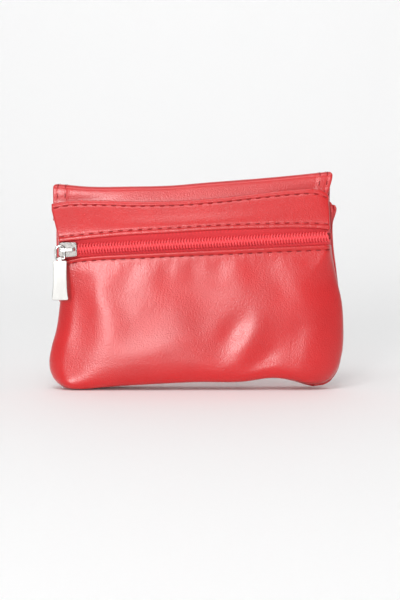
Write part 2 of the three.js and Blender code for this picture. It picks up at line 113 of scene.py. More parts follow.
# Sewing: rows of stitches, from the edge that they hold
STITCH_PITCH = 4.1
LOWER_LIP_ROW = 2.05
UPPER_LIP_ROW = 2.3
BAND_ROW = 2.2
HEM_ROWS = (2.0, 5.2)
LIP_PROUD = 0.65  # how far the turned edges beside the zip stand out
BRIM_PROUD = 0.45
HEM_PROUD = 0.12
PUCKER = 0.014
PUCKER_REACH = 3.0

# Zip: places along it, out of its tape and up from its middle line
ZIP_HEIGHT = 63.0
ZIP_TURN = math.atan(RISE)
ZIP_UP = (-math.sin(ZIP_TURN), 0, math.cos(ZIP_TURN))
TAPE_Y = -8.6
TAPE_HALF = 57.8
TAPE_START = 1.3  # from the middle line to the tape's edge under the coil
TAPE_THICKNESS = 0.5
TAPE_SHORTER = 3.4  # how much shorter each end is where leather hides it
TAPE_TURN = 5.6  # how far the visible ends turn back to the seam
COIL_LOOPS = 90
COIL_REACH = 2.0  # from the middle line to the far ends of the loops
SLIDER_AT = -54.5
SLIDER_FACE = -2.75  # front of the slider's casting
PULL_AT = -57.7  # where the pull swings on the bridge's foot
PULL_OUT = -3.9
LOOP_HALF = 1.8
LOOP_DROP = 3.7
LOOP_CORNER = 0.75
LOOP_WIRE = 0.5  # radius of the loop's wire
HOOK_OUTER = 0.95  # radii of the hook that curls round it
HOOK_INNER = 0.66
TAB_LENGTH = 18.3
TAB_NECK = 0.95  # half the width of the tab's neck and hook

# Half widths (height, reach) of the panels, read along their edges
LEFT_FOOT = ((0, 51.5), (0.5, 55.6), (1.7, 58.3), (3.9, 60.8), (7, 62.5), (12, 63.3))
LEFT_EDGE = (*LEFT_FOOT, (18.5, 62.4), (27, 60.2), (36, 58.9), (66, 58.6), (80, 61.9))
RIGHT_FOOT = ((0, 50.5), (0.5, 54), (1.6, 57), (3.8, 59.4), (7, 61.4), (12, 62.7))
RIGHT_EDGE = (*RIGHT_FOOT, (25.7, 63.5), (36, 62.7), (46.4, 60.2), (59, 58), (80, 57))
REAR_SIDE = (*RIGHT_FOOT, (25.7, 63.2), (48, 60.6), (61, 59), (69, 59))
REAR_RIGHT_EDGE = (*REAR_SIDE, (73, 60.1), (75.5, 60.4), (77, 59.7))
DIVIDER_RIGHT_EDGE = (*REAR_SIDE, (75, 59.2), (78, 57.6), (DIVIDER_TOP, 54))

# Waves of soft edges (place across, height) over their straight lines
FOOT_ARCH_LEFT = ((-64, 0), (-53, 0), (-38, 1.3), (-17, 2.6), (0, 3.4), (19, 3.5))
FOOT_ARCH = (*FOOT_ARCH_LEFT, (35, 5.1), (43, 3.7), (48, 2.3), (53, 1.9), (60, 1.9))
REAR_ARCH_LEFT = ((-64, 0), (-50, 0), (-36, 0.9), (-17, 2.2), (0, 2.9), (19, 3.1))
REAR_ARCH = (*REAR_ARCH_LEFT, (35, 3.8), (43, 2.3), (48, 1.0), (53, 0.6), (60, 0.7))
LOWER_LIP_WAVE_LEFT = ((-60, -2.0), (-55, -1.4), (-50, -0.6), (-44, -0.2), (-34, -0.15))
LOWER_LIP_WAVE = (*LOWER_LIP_WAVE_LEFT, (0, -0.15), (40, -0.15), (58, -0.2))
UPPER_LIP_WAVE_LEFT = ((-60, 0), (-54, 0.4), (-46, 0.9), (-30, 1.6), (-13, 1.7))
UPPER_LIP_WAVE = (*UPPER_LIP_WAVE_LEFT, (14, 1.9), (31, 1.5), (46, 0.9), (54, 0.1), (58, -0.6))
BAND_WAVE_LEFT = ((-62, 0), (-54, 1.0), (-44, 0.7), (-26, -0.7), (-8, -1.3), (10, -0.9))
BAND_WAVE_RIGHT = ((28, 0.2), (42, 0.9), (50, 0.8), (53.5, 0), (55.5, -1.2), (57, -2.8))
BAND_WAVE = (*BAND_WAVE_LEFT, *BAND_WAVE_RIGHT)
FLAP_WAVE_LEFT = ((-61, 2.3), (-58, 2.0), (-48, 0.6), (-27, -0.5), (-10, -0.9))
FLAP_WAVE = (*FLAP_WAVE_LEFT, (4, -0.4), (19, 0), (34, 0.5), (58, 1.7))

# Soft hollows and ridges of the pocket's leather: across, up, length, width, slant in degrees, height
POCKET_FOLDS = (
    (15.5, 25.6, 9, 4.8, 52, -0.6),
    (29.5, 14.5, 10, 4.8, 50, -0.62),
    (22.3, 20, 10, 4.8, 50, 0.38),
    (41, 21, 13, 5.5, 60, -0.25),
    (-22, 17, 14, 7, 20, 0.25),
    (2, 40, 18, 8, 150, -0.3),
)

# Settling of the pocket's leather. It is ten times life size, because the forces hardly show on small cloth
CLOTH_SCALE = 10
CLOTH_FRAMES = 20
CLOTH_SLACK = 0.0009
CLOTH_MOST = 0.9  # how far a point may move, in millimetres

# Studio: a floor that curves up into a backdrop, in millimetres
FLOOR_FRONT = -3000
FLOOR_HALF = 4000
BACKDROP_START = 1200
BACKDROP_ROUND = 1000
BACKDROP_TOP = 4000
# Lights with their place, aim and size in metres and their power in watts
LIGHTS = (
    ("Key softbox", (-0.12, -0.55, 0.95), (0, 0, 0.03), (0.5, 0.5), 3.6),
    ("Strip light", (-0.43, -2.04, 0.31), (0, 0, 0.03), (0.26, 0.56), 22.0),
    ("Backdrop light", (0, 0.7, 1.5), (0, 2.2, 0.7), (1.5, 0.4), 9.0),
)
ROOM_LIGHT = 0.55
# Camera, in metres
CAMERA_AIM = (0.0017, -0.003, 0.0383)
CAMERA_DISTANCE = 0.75
CAMERA_TILT = math.radians(4)
CAMERA_SENSOR = 36
VIEW_HEIGHT = 0.258  # what the picture shows from top to bottom at the purse


def linear(code):
    """Turns an sRGB hex colour into the linear values that shaders use."""
    parts = [int(code[i : i + 2], 16) / 255 for i in (0, 2, 4)]
    return tuple(p / 12.92 if p <= 0.04045 else ((p + 0.055) / 1.055) ** 2.4 for p in parts)


def smooth(value, low, high):
    """Smooth step from 0 at low to 1 at high."""
    t = np.clip((value - low) / (high - low), 0, 1)
    return t * t * (3 - 2 * t)


def through(points, value):
    """Smooth curve through (place, size) points, level beyond its ends."""
    place, size = np.array(points, float).T
    slope = np.gradient(size, place)
    value = np.clip(value, place[0], place[-1])
    i = np.clip(np.searchsorted(place, value) - 1, 0, len(place) - 2)
    step = place[i + 1] - place[i]
    t = (value - place[i]) / step
    rising = (1 + 2 * t) * (1 - t) ** 2 * size[i] + t * (1 - t) ** 2 * step * slope[i]
    return rising + t * t * (3 - 2 * t) * size[i + 1] - t * t * (1 - t) * step * slope[i + 1]


def bezier(control, steps=160):
    """Points of a straight line or a curve between its control points."""
    t = np.linspace(0, 1, steps)[:, None]
    points = [np.broadcast_to(np.array(c, float), (steps, len(c))) for c in control]
    while len(points) > 1:
        points = [a + (b - a) * t for a, b in zip(points, points[1:])]
    return points[0]


class Profile:
    """Run of straight and curved stretches in a plane, read by the share of its length."""

    def __init__(self, *stretches):
        points = np.vstack([bezier(s) for s in stretches])
        moved = np.linalg.norm(np.diff(points, axis=0), axis=1) > TINY
        self.points = points[np.concatenate(([True], moved))]
        steps = np.linalg.norm(np.diff(self.points, axis=0), axis=1)
        along = np.concatenate(([0], np.cumsum(steps)))
        self.length = along[-1]
        self.share = along / self.length

    def at(self, share):
        """Both coordinates at a share of the length."""
        return [np.interp(share, self.share, column) for column in self.points.T]


# Sections of the panels from the bottom seam up: distance from the seam, height
POCKET_PROFILE = Profile(
    ((0, 0), (5.4, 0)),
    ((5.4, 0), (8.6, 0), (9.7, 3), (9.6, 10)),
    ((9.6, 10), (9.1, 25), (8.0, 42), (LIP_DEPTH, POCKET_TOP)),
)
BAND_PROFILE = Profile(((LIP_DEPTH, BAND_FOOT), (LIP_DEPTH, 71), (5.3, 76.5), (3.1, 82.8)))
REAR_PROFILE = Profile(
    ((0, 0), (5.8, 0)),
    ((5.8, 0), (8.2, 0), (9.5, 4), (9.5, 17)),
    ((9.5, 17), (9.5, 58)),
    ((9.5, 58), (9.5, 66), (8.5, 72), (8, 77)),
)
# Section of the flap from its root behind the band over the top and down the far side: depth, height
FLAP_PROFILE = Profile(
    ((ROOT_Y, 75.5), (ROOT_Y, 81)),
    ((ROOT_Y, 81), (-4.2, 82.5), (-3.6, 87)),
    ((-3.6, 87), (-3.3, FLAP_TOP), (-0.8, FLAP_TOP)),
    ((-0.8, FLAP_TOP), (8, FLAP_TOP), (TONGUE_Y, 86), (TONGUE_Y, TONGUE_TOP)),
    ((TONGUE_Y, TONGUE_TOP), (TONGUE_Y, FLAP_END)),
)
FLAP_SHOULDER = 1 - (SHOULDER - FLAP_END) / FLAP_PROFILE.length


def soft_weights(share, count):
    """Weights that read a row of values softly, with no kinks between them."""
    place = share * (count - 1)
    start = np.clip(place.astype(int), 0, count - 2)
    t = place - start
    parts = ((1 - t) ** 3, 3 * t**3 - 6 * t**2 + 4, -3 * t**3 + 3 * t**2 + 3 * t + 1, t**3)
    weights = np.zeros((len(share), count))
    for step, part in enumerate(parts):
        columns = np.clip(start + step - 1, 0, count - 1)
        np.add.at(weights, (np.arange(len(share)), columns), part / 6)
    return weights


class Face:
    """Outer face of a sewn piece: points in columns across and rows up, with their outward directions."""

    def __init__(self, shape, us, shares, outward=1, settling=None):
        self.us = us
        self.shares = shares
        self.outward = outward
        across, up = np.meshgrid(us, shares)
        self.points = np.stack(np.broadcast_arrays(*shape(across, up)), axis=-1).astype(float)
        if settling:
            self.points += settling(us, shares)
        normal = np.cross(np.gradient(self.points, axis=1), np.gradient(self.points, axis=0)) * outward
        self.normals = normal / np.maximum(np.linalg.norm(normal, axis=2, keepdims=True), TINY)
        self.across = self.run(1)
        self.up = self.run(0)

    def run(self, axis):
        """Distance along the face from its first column or row."""
        step = np.linalg.norm(np.diff(self.points, axis=axis), axis=2)
        start = np.zeros_like(np.take(step, [0], axis=axis))
        return np.concatenate((start, np.cumsum(step, axis=axis)), axis=axis)

    def at(self, u, share, out=0.0):
        """Points on the face, lifted outwards, with the outward directions there."""
        column = np.interp(u, self.us, np.arange(len(self.us)))
        row = np.interp(share, self.shares, np.arange(len(self.shares)))
        j = np.clip(column.astype(int), 0, len(self.us) - 2)
        i = np.clip(row.astype(int), 0, len(self.shares) - 2)
        right = (column - j)[..., None]
        high = (row - i)[..., None]
        place, normal = (
            (g[i, j] * (1 - right) + g[i, j + 1] * right) * (1 - high)
            + (g[i + 1, j] * (1 - right) + g[i + 1, j + 1] * right) * high
            for g in (self.points, self.normals)
        )
        return place + normal * out, normal

    def part(self, us, shares):
        """Smaller face cut out of this one."""
        columns = (self.us >= us[0]) & (self.us <= us[1])
        rows = (self.shares >= shares[0]) & (self.shares <= shares[1])
        cut = copy.copy(self)
        cut.us = self.us[columns]
        cut.shares = self.shares[rows]
        cut.points = self.points[rows][:, columns]
        cut.normals = self.normals[rows][:, columns]
        cut.across = cut.run(1)
        cut.up = cut.run(0)
        return cut


def spread(count, low, high, edge):
    """Even steps from low to high, with close ones at both ends for a rounded edge."""
    close = edge * (1 - np.cos(np.linspace(0, math.pi / 2, 6)))
    even = np.linspace(low + edge, high - edge, count)
    return np.unique(np.concatenate((low + close, even, high - close)))


def lift(x, height):
    """Rise of the zip, top and flap to the right; the foot stays level."""
    return RISE * x * np.minimum(1, height / ZIP_HEIGHT)


def half_width(u, height, right_edge=RIGHT_EDGE):
    """Reach of a panel to the left or to the right of its middle."""
    return np.where(u < 0, through(LEFT_EDGE, height), through(right_edge, height))


def arched(wave, x, height):
    """Wave of a panel's foot, which fades out above it."""
    return through(wave, x) * (1 - smooth(height, *ARCH_HEIGHTS))


def bowed(u, reach, radius):
    """Share of a panel's depth at a place across it, with round sides."""
    inward = np.clip(reach * (1 - np.abs(u)) / radius, 0, 1)
    return np.sqrt(1 - (1 - inward) ** 2)


def furrow(distance, row, depth, width):
    """Furrow that a row of stitches draws into the leather."""
    return depth * np.exp(-(((distance - row) / width) ** 2))


def turned_lip(distance, row):
    """How far a turned edge stands proud of its panel, and the furrow of the stitches that hold it."""
    proud = LIP_PROUD * smooth(row - 0.35 - distance, 0, 0.5)
    return proud - furrow(distance, row, 0.18, 0.45)


def rolled_brim(distance, row):
    """Flattened roll between a panel's edge and the furrow of its stitches."""
    roll = BRIM_PROUD * np.sqrt(np.clip(1 - (2 * distance / row - 1) ** 4, 0, 1))
    return roll - furrow(distance, row, 0.2, 0.5)


def puckers(x, distance, row):
    """Small pull of each stitch on the leather beside it."""
    fading = np.exp(-np.maximum(distance - row, 0) / PUCKER_REACH)
    return PUCKER * np.cos(2 * math.pi * x / STITCH_PITCH) * fading


def folded(x, z):
    """Hollows and ridges where the pocket's leather gathers."""
    height = 0 * x
    for across, up, length, width, slant, rise in POCKET_FOLDS:
        turn = math.radians(slant)
        along = (x - across) * math.cos(turn) + (z - up) * math.sin(turn)
        aside = (z - up) * math.cos(turn) - (x - across) * math.sin(turn)
        height = height + rise * np.exp(-((along / length) ** 2) - (aside / width) ** 2)
    return height


def turned_away(x, height):
    """How far the pocket's front falls back from its middle, and to the left of a soft crease."""
    left = CREASE - 5 * (1 - smooth(height, 8, 36)) - x
    crease = 0.09 * (left + np.sqrt(left * left + 3 + 20 * (1 - smooth(height, 12, 40))))
    crease = crease * smooth(height, 0, 9) * (1 - 0.55 * smooth(height, 40, 58))
    return crease + 0.6 * (x / 45) ** 2 * smooth(height, 0, 12)


def pocket_shape(u, share):
    """Front of the zipped pocket."""
    depth, height = POCKET_PROFILE.at(share)
    reach = half_width(u, height)
    radius = np.where(u < 0, POCKET_LEFT_ROUND, POCKET_RIGHT_ROUND)
    bow = bowed(u, reach, radius + (LIP_ROUND - radius) * smooth(height, 40, 59))
    x = reach * u
    z = height + lift(x, height) + arched(FOOT_ARCH, x, height)
    z = z + through(LOWER_LIP_WAVE, x) * smooth(height, 46, POCKET_TOP)
    distance = (1 - share) * POCKET_PROFILE.length
    relief = turned_lip(distance, LOWER_LIP_ROW) + puckers(x, distance, LOWER_LIP_ROW)
    relief = relief + folded(x, z) * smooth(height, 3, 9) - turned_away(x, height)
    return x, SEAM_Y - SEAM - (depth + relief) * bow, z


def band_shape(u, share):
    """Band between the zip and the flap."""
    depth, height = BAND_PROFILE.at(share)
    reach = half_width(u, height)
    x = reach * u
    z = height + lift(x, height) + through(BAND_WAVE, x) * smooth(height, 69, 82)
    z = z + through(UPPER_LIP_WAVE, x) * (1 - smooth(height, BAND_FOOT, 77))
    distance = share * BAND_PROFILE.length
    relief = turned_lip(distance, UPPER_LIP_ROW) + puckers(x, distance, UPPER_LIP_ROW)
    relief = relief + rolled_brim(BAND_PROFILE.length - distance, BAND_ROW)
    return x, SEAM_Y - SEAM - (depth + relief) * bowed(u, reach, 0.7), z


def rear_shape(u, share):
    """Rear of the main compartment."""
    depth, height = REAR_PROFILE.at(share)
    reach = half_width(u, height, REAR_RIGHT_EDGE) - np.where(u < 0, REAR_INSET, 0)
    x = reach * u
    distance = (1 - share) * REAR_PROFILE.length
    relief = 0.6 * turned_lip(distance, LOWER_LIP_ROW)
    bow = bowed(u, reach, 16 - 7 * smooth(height, 30, 77))
    under = smooth(depth, 2.5, 5.8)
    arch = arched(FOOT_ARCH, x, height) * (1 - under) + arched(REAR_ARCH, x, height) * under
    ear = 0.03 * np.clip(x - 55, 0, 6) ** 2 * smooth(height, 66, 77)
    z = height + lift(x, height) + arch - ear
    return x, SEAM_Y + SEAM + (depth + relief) * bow, z


def flap_shape(u, share):
    """Flap from its sewn root to its end on the far side."""
    depth, height = FLAP_PROFILE.at(share)
    behind = share > FLAP_FRONT
    short = np.where(behind, np.clip(FLAP_CORNER - (height - FLAP_END), 0, FLAP_CORNER), 0)
    cut = FLAP_CORNER - np.sqrt(np.maximum(FLAP_CORNER**2 - short**2, 0))
    over = np.clip(height - (FLAP_TOP - FLAP_ROUND), 0, FLAP_ROUND)
    cut = cut + FLAP_ROUND - np.sqrt(FLAP_ROUND**2 - over**2)
    cut = cut + np.where(behind | (u < 0), 0, ROOT_NARROWING * (1 - smooth(height, 79.5, 87.5)))
    reach = FLAP_HALF - cut
    x = (FLAP_LEFT + FLAP_RIGHT) / 2 + reach * u
    z = height + RISE * x + through(FLAP_WAVE, x) * smooth(height, 81.5, 88.8)
    end = reach * (1 - np.abs(u))
    hem = HEM_PROUD * (1 - smooth(end, HEM_ROWS[1], 7.0)) - furrow(end, HEM_ROWS[0], 0.08, 0.6)
    hem = hem * np.where(behind, smooth(height, FLAP_END + 3, FLAP_END + 12), 1)
    sway = np.where(behind, SWAY * smooth(TONGUE_TOP - height, 0, 40) * (1 - np.cos(x / 17)), 0)
    tuck = TUCK * smooth(np.abs(x), 28, 54) * np.exp(-(((height - 83) / 2.0) ** 2))
    return x, depth + np.where(behind, hem + sway, tuck - hem), z


def zip_place(x, y, z):
    """Place of a point given along the zip, out of its tape and up from its middle line."""
    turned = x * math.cos(ZIP_TURN) - z * math.sin(ZIP_TURN)
    return turned, y + TAPE_Y, ZIP_HEIGHT + x * math.sin(ZIP_TURN) + z * math.cos(ZIP_TURN)


def settled(face):
    """How leather that is sewn along its edges swells and gathers between them, from a cloth simulation."""
    rows, columns = face.points.shape[:2]
    table = np.arange(rows * columns).reshape(rows, columns)
    cloth = build("settling", face.points.reshape(-1, 3) * CLOTH_SCALE, quads(table).tolist(), None)
    # Two rows and columns along the border are held by the sewing
    sewn = cloth.vertex_groups.new(name="sewn")
    inside = np.zeros((rows, columns), bool)
    inside[2:-2, 2:-2] = True
    sewn.add(table[~inside].tolist(), 1.0, "REPLACE")
    maker = cloth.modifiers.new("Settling", "CLOTH")
    leather = maker.settings
    leather.vertex_group_mass = "sewn"
    leather.quality = 6
    leather.mass = 0.5
    leather.tension_stiffness = leather.compression_stiffness = 30
    leather.shear_stiffness = 12
    leather.bending_stiffness = 6
    leather.use_pressure = True
    leather.shrink_min = leather.shrink_max = -CLOTH_SLACK
    leather.effector_weights.gravity = 0
    maker.collision_settings.use_collision = False
    maker.point_cache.frame_start = 1
    maker.point_cache.frame_end = CLOTH_FRAMES
    scene = bpy.context.scene
    for step in range(1, CLOTH_FRAMES + 1):
        scene.frame_set(step)
    result = cloth.evaluated_get(bpy.context.evaluated_depsgraph_get()).data
    places = np.zeros(rows * columns * 3)
    result.vertices.foreach_get("co", places)
    scene.frame_set(1)
    bpy.data.objects.remove(cloth)
    moves = places.reshape(rows, columns, 3) / MM / CLOTH_SCALE - face.points
    far = np.linalg.norm(moves, axis=2, keepdims=True)
    moves *= np.minimum(1, CLOTH_MOST / np.maximum(far, TINY))

    def settling(us, shares):
        """Moves of the points of a finer face."""
        across = (us - face.us[0]) / (face.us[-1] - face.us[0])
        up = (shares - face.shares[0]) / (face.shares[-1] - face.shares[0])
        weights = soft_weights(np.clip(up, 0, 1), rows), soft_weights(np.clip(across, 0, 1), columns)
        return np.einsum("ri,ijk,cj->rck", weights[0], moves, weights[1])

    return settling


@functools.cache
def pocket_face():
    settling = None
    settling = settled(Face(pocket_shape, np.linspace(-0.96, 0.96, 73), np.linspace(0.1, 0.97, 45)))
    return Face(pocket_shape, spread(250, -1, 1, 0.01), spread(118, 0, 1, 0.009), settling=settling)


@functools.cache
def band_face():
    """Band over the zip."""
    return Face(band_shape, spread(250, -1, 1, 0.01), spread(64, 0, 1, 0.036))


@functools.cache
def rear_face():
    """Rear panel."""
    return Face(rear_shape, spread(200, -1, 1, 0.01), spread(110, 0, 1, 0.007), outward=-1)


@functools.cache
def fold_face():
    """Flap from its root to its shoulder."""
    return Face(flap_shape, spread(200, -1, 1, 0.01), spread(60, 0, FLAP_SHOULDER, 0.005))


@functools.cache
def tongue_face():
    """Flap from its shoulder to its end."""
    return Face(flap_shape, spread(200, -1, 1, 0.01), spread(90, FLAP_SHOULDER, 1, 0.006))


def flat_face(y, low, high, inset, right_edge):
    """Upright flat sheet with the purse's outline."""

    def shape(u, share):
        height = low + (high - low) * share
        x = (half_width(u, height, right_edge) - inset) * u
        return x, y, height + lift(x, height) + arched(FOOT_ARCH, x, height)

    return Face(shape, spread(90, -1, 1, 0.01), spread(60, 0, 1, 0.008))


def build(name, points, faces, finish):
    """Links a new object with these points, in millimetres, and this material."""
    mesh = bpy.data.meshes.new(name)
    mesh.from_pydata((np.asarray(points, float) * MM).tolist(), [], faces)
    if finish:
        mesh.materials.append(finish)
    mesh.shade_smooth()
    piece = bpy.data.objects.new(name, mesh)
    bpy.context.collection.objects.link(piece)
    return piece


def finish_modifiers(piece):
    """Turns a piece and its modifiers into one plain mesh."""
    graph = bpy.context.evaluated_depsgraph_get()
    shown = piece.evaluated_get(graph)
    made = bpy.data.meshes.new_from_object(shown, preserve_all_data_layers=True, depsgraph=graph)
    plain = piece.data
    piece.modifiers.clear()
    piece.data = made
    bpy.data.meshes.remove(plain)
    made.name = piece.name


def quads(table):
    """Four-cornered faces of a grid of point numbers."""
    corners = (table[:-1, :-1], table[:-1, 1:], table[1:, 1:], table[1:, :-1])
    return np.stack(corners, axis=-1).reshape(-1, 4)


def map_points(mesh, name, places):
    """UV map that gives each corner the flat place, in metres, of its point."""
    corner = np.zeros(len(mesh.loops), int)
    mesh.loops.foreach_get("vertex_index", corner)
    mesh.uv_layers.new(name=name).data.foreach_set("uv", places[corner].ravel())


def sheet(name, face, thickness, finish, below=0.0, square=()):
    """Closed sheet under a face. Its edges are round, but for the square ones."""
    rows, columns = face.points.shape[:2]
    reach = {
        "left": face.across,
        "right": face.across[:, -1:] - face.across,
        "low": face.up,
        "high": face.up[-1:] - face.up,
    }
    nearest = np.min([reach[side] for side in reach if side not in square], axis=0)
    thick = thickness * np.sqrt(1 - (1 - np.clip(2 * nearest / thickness, 0, 1)) ** 2)
    middle = face.points - face.normals * (below + thickness / 2)
    offset = face.normals * thick[..., None] / 2
    points = np.concatenate((middle + offset, middle - offset)).reshape(-1, 3)
    over = np.arange(rows * columns).reshape(rows, columns)
    under = np.where(thick < TINY, over, over + rows * columns)
    faces = [*quads(over).tolist(), *quads(under)[:, ::-1].tolist()]
    edges = {
        "left": (over[::-1, 0], under[::-1, 0]),
        "right": (over[:, -1], under[:, -1]),
        "low": (over[0], under[0]),
        "high": (over[-1, ::-1], under[-1, ::-1]),
    }
    for side in square:
        outer, inner = edges[side]
        for corners in zip(outer, inner, inner[1:], outer[1:]):
            faces.append([int(c) for c in dict.fromkeys(corners)])
    if face.outward < 0:
        faces = [f[::-1] for f in faces]
    used = np.unique(np.concatenate((over.ravel(), under.ravel())))
    number = np.zeros(len(points), int)
    number[used] = np.arange(len(used))
    piece = build(name, points[used], [[int(number[c]) for c in f] for f in faces], finish)
    flat = np.stack((face.across, face.up), axis=-1).reshape(-1, 2) * MM
    map_points(piece.data, "weave", np.tile(flat, (2, 1))[used])
    edge = np.tile(np.exp(-nearest / WEAR).ravel(), 2)[used]
    piece.data.attributes.new("edge", "FLOAT", "POINT").data.foreach_set("value", edge)
    return piece


def tube(path, radius, sides, closed=False):
    """Round tube along a path of points."""
    path = np.asarray(path, float)
    count = len(path)
    ahead = np.roll(path, -1, axis=0) - np.roll(path, 1, axis=0)
    if not closed:
        ahead[0] = path[1] - path[0]
        ahead[-1] = path[-1] - path[-2]
    ahead /= np.linalg.norm(ahead, axis=1)[:, None]
    # The first side may point any way, as long as the path doesn't start along this direction
    side = np.cross(ahead[0], (0.3, 0.9, 0.5))
    points = []
    for place, direction in zip(path, ahead):
        side = side - direction * (side @ direction)
        side = side / np.linalg.norm(side)
        other = np.cross(direction, side)
        for turn in np.arange(sides) * 2 * math.pi / sides:
            points.append(place + radius * (math.cos(turn) * side + math.sin(turn) * other))
    faces = []
    for i in range(count if closed else count - 1):
        low, high = i * sides, (i + 1) % count * sides
        for j in range(sides):
            k = (j + 1) % sides
            faces.append([low + j, low + k, high + k, high + j])
    if not closed:
        faces.append(list(range(sides))[::-1])
        faces.append([(count - 1) * sides + j for j in range(sides)])
    return np.array(points), faces


def lathe(profile, z, sides=56):
    """Turned shape about a line along Y, from its (radius, y) outline between two points on that line."""
    points, faces = [], []
    for radius, y in profile:
        for turn in np.arange(sides) * 2 * math.pi / sides:
            points.append((radius * math.cos(turn), y, z + radius * math.sin(turn)))
    for i in range(len(profile) - 1):
        for j in range(sides):
            k = (j + 1) % sides
            faces.append([i * sides + j, i * sides + k, (i + 1) * sides + k, (i + 1) * sides + j])
    return np.array(points), faces


def slab(outline, front, back):
    """Plate of an (x, z) outline between two depths."""
    outline = np.asarray(outline, float)
    x, z = outline.T
    if np.sum(x * np.roll(z, -1) - np.roll(x, -1) * z) < 0:
        outline = outline[::-1]
    count = len(outline)
    points = np.array([(p[0], y, p[1]) for y in (front, back) for p in outline])
    faces = [list(range(count)), list(range(count, 2 * count))[::-1]]
    for i in range(count):
        k = (i + 1) % count
        faces.append([i, i + count, k + count, k])
    return points, faces


def joined(*parts):
    """Several shapes as one."""
    points, faces, count = [], [], 0
    for places, corners in parts:
        points.append(places)
        faces.extend([[c + count for c in f] for f in corners])
        count += len(places)
    return np.vstack(points), faces


def arc(x, z, radius, start, end, steps=10):
    """Points of an arc in the (x, z) plane, its angles in degrees."""
    turn = np.radians(np.linspace(start, end, steps))
    return np.stack((x + radius * np.cos(turn), z + radius * np.sin(turn)), axis=-1)


def rounded(piece, width, segments=3):
    """Rounds a piece's edges and keeps its flats flat."""
    bevel = piece.modifiers.new("Edges", "BEVEL")
    bevel.width = width * MM
    bevel.segments = segments
    bevel.limit_method = "ANGLE"
    bevel.angle_limit = math.radians(32)
    bevel.harden_normals = True
    finish_modifiers(piece)


def on_slider(part):
    """Moves a shape drawn round the slider's middle to its place on the zip."""
    points, faces = part
    x, y, z = points.T
    return np.stack(zip_place(x + SLIDER_AT, y, z), axis=-1), faces


def feed(tree, made, inputs):
    """Sets or links the inputs of a node."""
    for key, value in inputs.items():
        if isinstance(value, bpy.types.NodeSocket):
            tree.links.new(value, made.inputs[key])
        else:
            made.inputs[key].default_value = value


def node(tree, kind, inputs=None, **settings):
    """Adds a node, with its settings and its inputs set or linked."""
    made = tree.nodes.new(kind)
    for key, value in settings.items():
        setattr(made, key, value)
    feed(tree, made, inputs or {})
    return made


def new_finish(name):
    """Empty material with its shader, ready for nodes."""
    finish = bpy.data.materials.new(name)
    finish.use_nodes = True
    tree = finish.node_tree
    return finish, tree, tree.nodes["Principled BSDF"]


def tone(colour, share=1.0):
    """Opaque colour, darker or lighter than the given one."""
    return (*[min(1, c * share) for c in colour], 1)


def wave_scale(spacing):
    """Scale of a wave texture whose crests lie this far apart, in millimetres."""
    return math.pi / 10 / (spacing * MM)


def noise_scale(size):
    """Scale of a noise texture whose patches have this size, in millimetres."""
    return 1 / (size * MM)


@functools.cache
def plated_leather():
    """Red calf leather, dyed through and plated smooth under heat."""
    # The press leaves a fine pebble grain and an even soft gloss
    # The dye is a little uneven over a few centimetres
    sizes, colours = bpy.context.scene.purse_sizes, bpy.context.scene.purse_colours
    finish, tree, shader = new_finish("Plated calf leather")
    spot = node(tree, "ShaderNodeTexCoord").outputs["Object"]
    pebbles = node(
        tree,
        "ShaderNodeTexVoronoi",
        {"Vector": spot, "Scale": 1 / sizes.grain},
        feature="SMOOTH_F1",
    ).outputs["Distance"]
    pores = node(
        tree,
        "ShaderNodeTexNoise",
        {"Vector": spot, "Scale": 1.1 / sizes.grain, "Detail": 4.0, "Roughness": 0.6},
    ).outputs["Fac"]
    dye = node(
        tree, "ShaderNodeTexNoise", {"Vector": spot, "Scale": noise_scale(22), "Detail": 3.0}
    ).outputs["Fac"]
    edge = node(tree, "ShaderNodeAttribute", attribute_name="edge").outputs["Fac"]
    uneven = node(
        tree, "ShaderNodeMapRange", {"Value": dye, "From Min": 0.3, "From Max": 0.7}
    ).outputs["Result"]
    deep, main = tone(colours.leather_deep), tone(colours.leather)
    dyed = node(tree, "ShaderNodeMix", {0: uneven, 6: deep, 7: main}, data_type="RGBA").outputs[2]
    pits = node(
        tree,
        "ShaderNodeMapRange",
        {"Value": pebbles, "From Min": 0.1, "From Max": 0.75, "To Max": 0.3},
    ).outputs["Result"]
    pitted = node(tree, "ShaderNodeMix", {0: pits, 6: dyed, 7: deep}, data_type="RGBA").outputs[2]
    relief = node(tree, "ShaderNodeMath", {0: pebbles, 1: pores}, operation="SUBTRACT").outputs[0]
    # The finish on top fills most of the grain
    grain, skin = (
        node(
            tree,
            "ShaderNodeBump",
            {"Strength": 0.7, "Distance": depth * MM, "Height": relief},
            invert=True,
        ).outputs["Normal"]
        for depth in (0.2, 0.05)
    )
    gloss = node(
        tree,
        "ShaderNodeMapRange",
        {"Value": pores, "From Min": 0.3, "From Max": 0.7, "To Min": 0.28, "To Max": 0.4},
    ).outputs["Result"]
    worn = node(
        tree, "ShaderNodeMath", {0: edge, 1: -0.06, 2: gloss}, operation="MULTIPLY_ADD"
    ).outputs[0]
    feed(tree, shader, {"Base Color": pitted, "Roughness": worn, "Normal": grain})
    feed(tree, shader, {"IOR": 1.5, "Specular IOR Level": 0.25})
    feed(tree, shader, {"Coat Weight": 0.85, "Coat Roughness": 0.28, "Coat Normal": skin})
    return finish


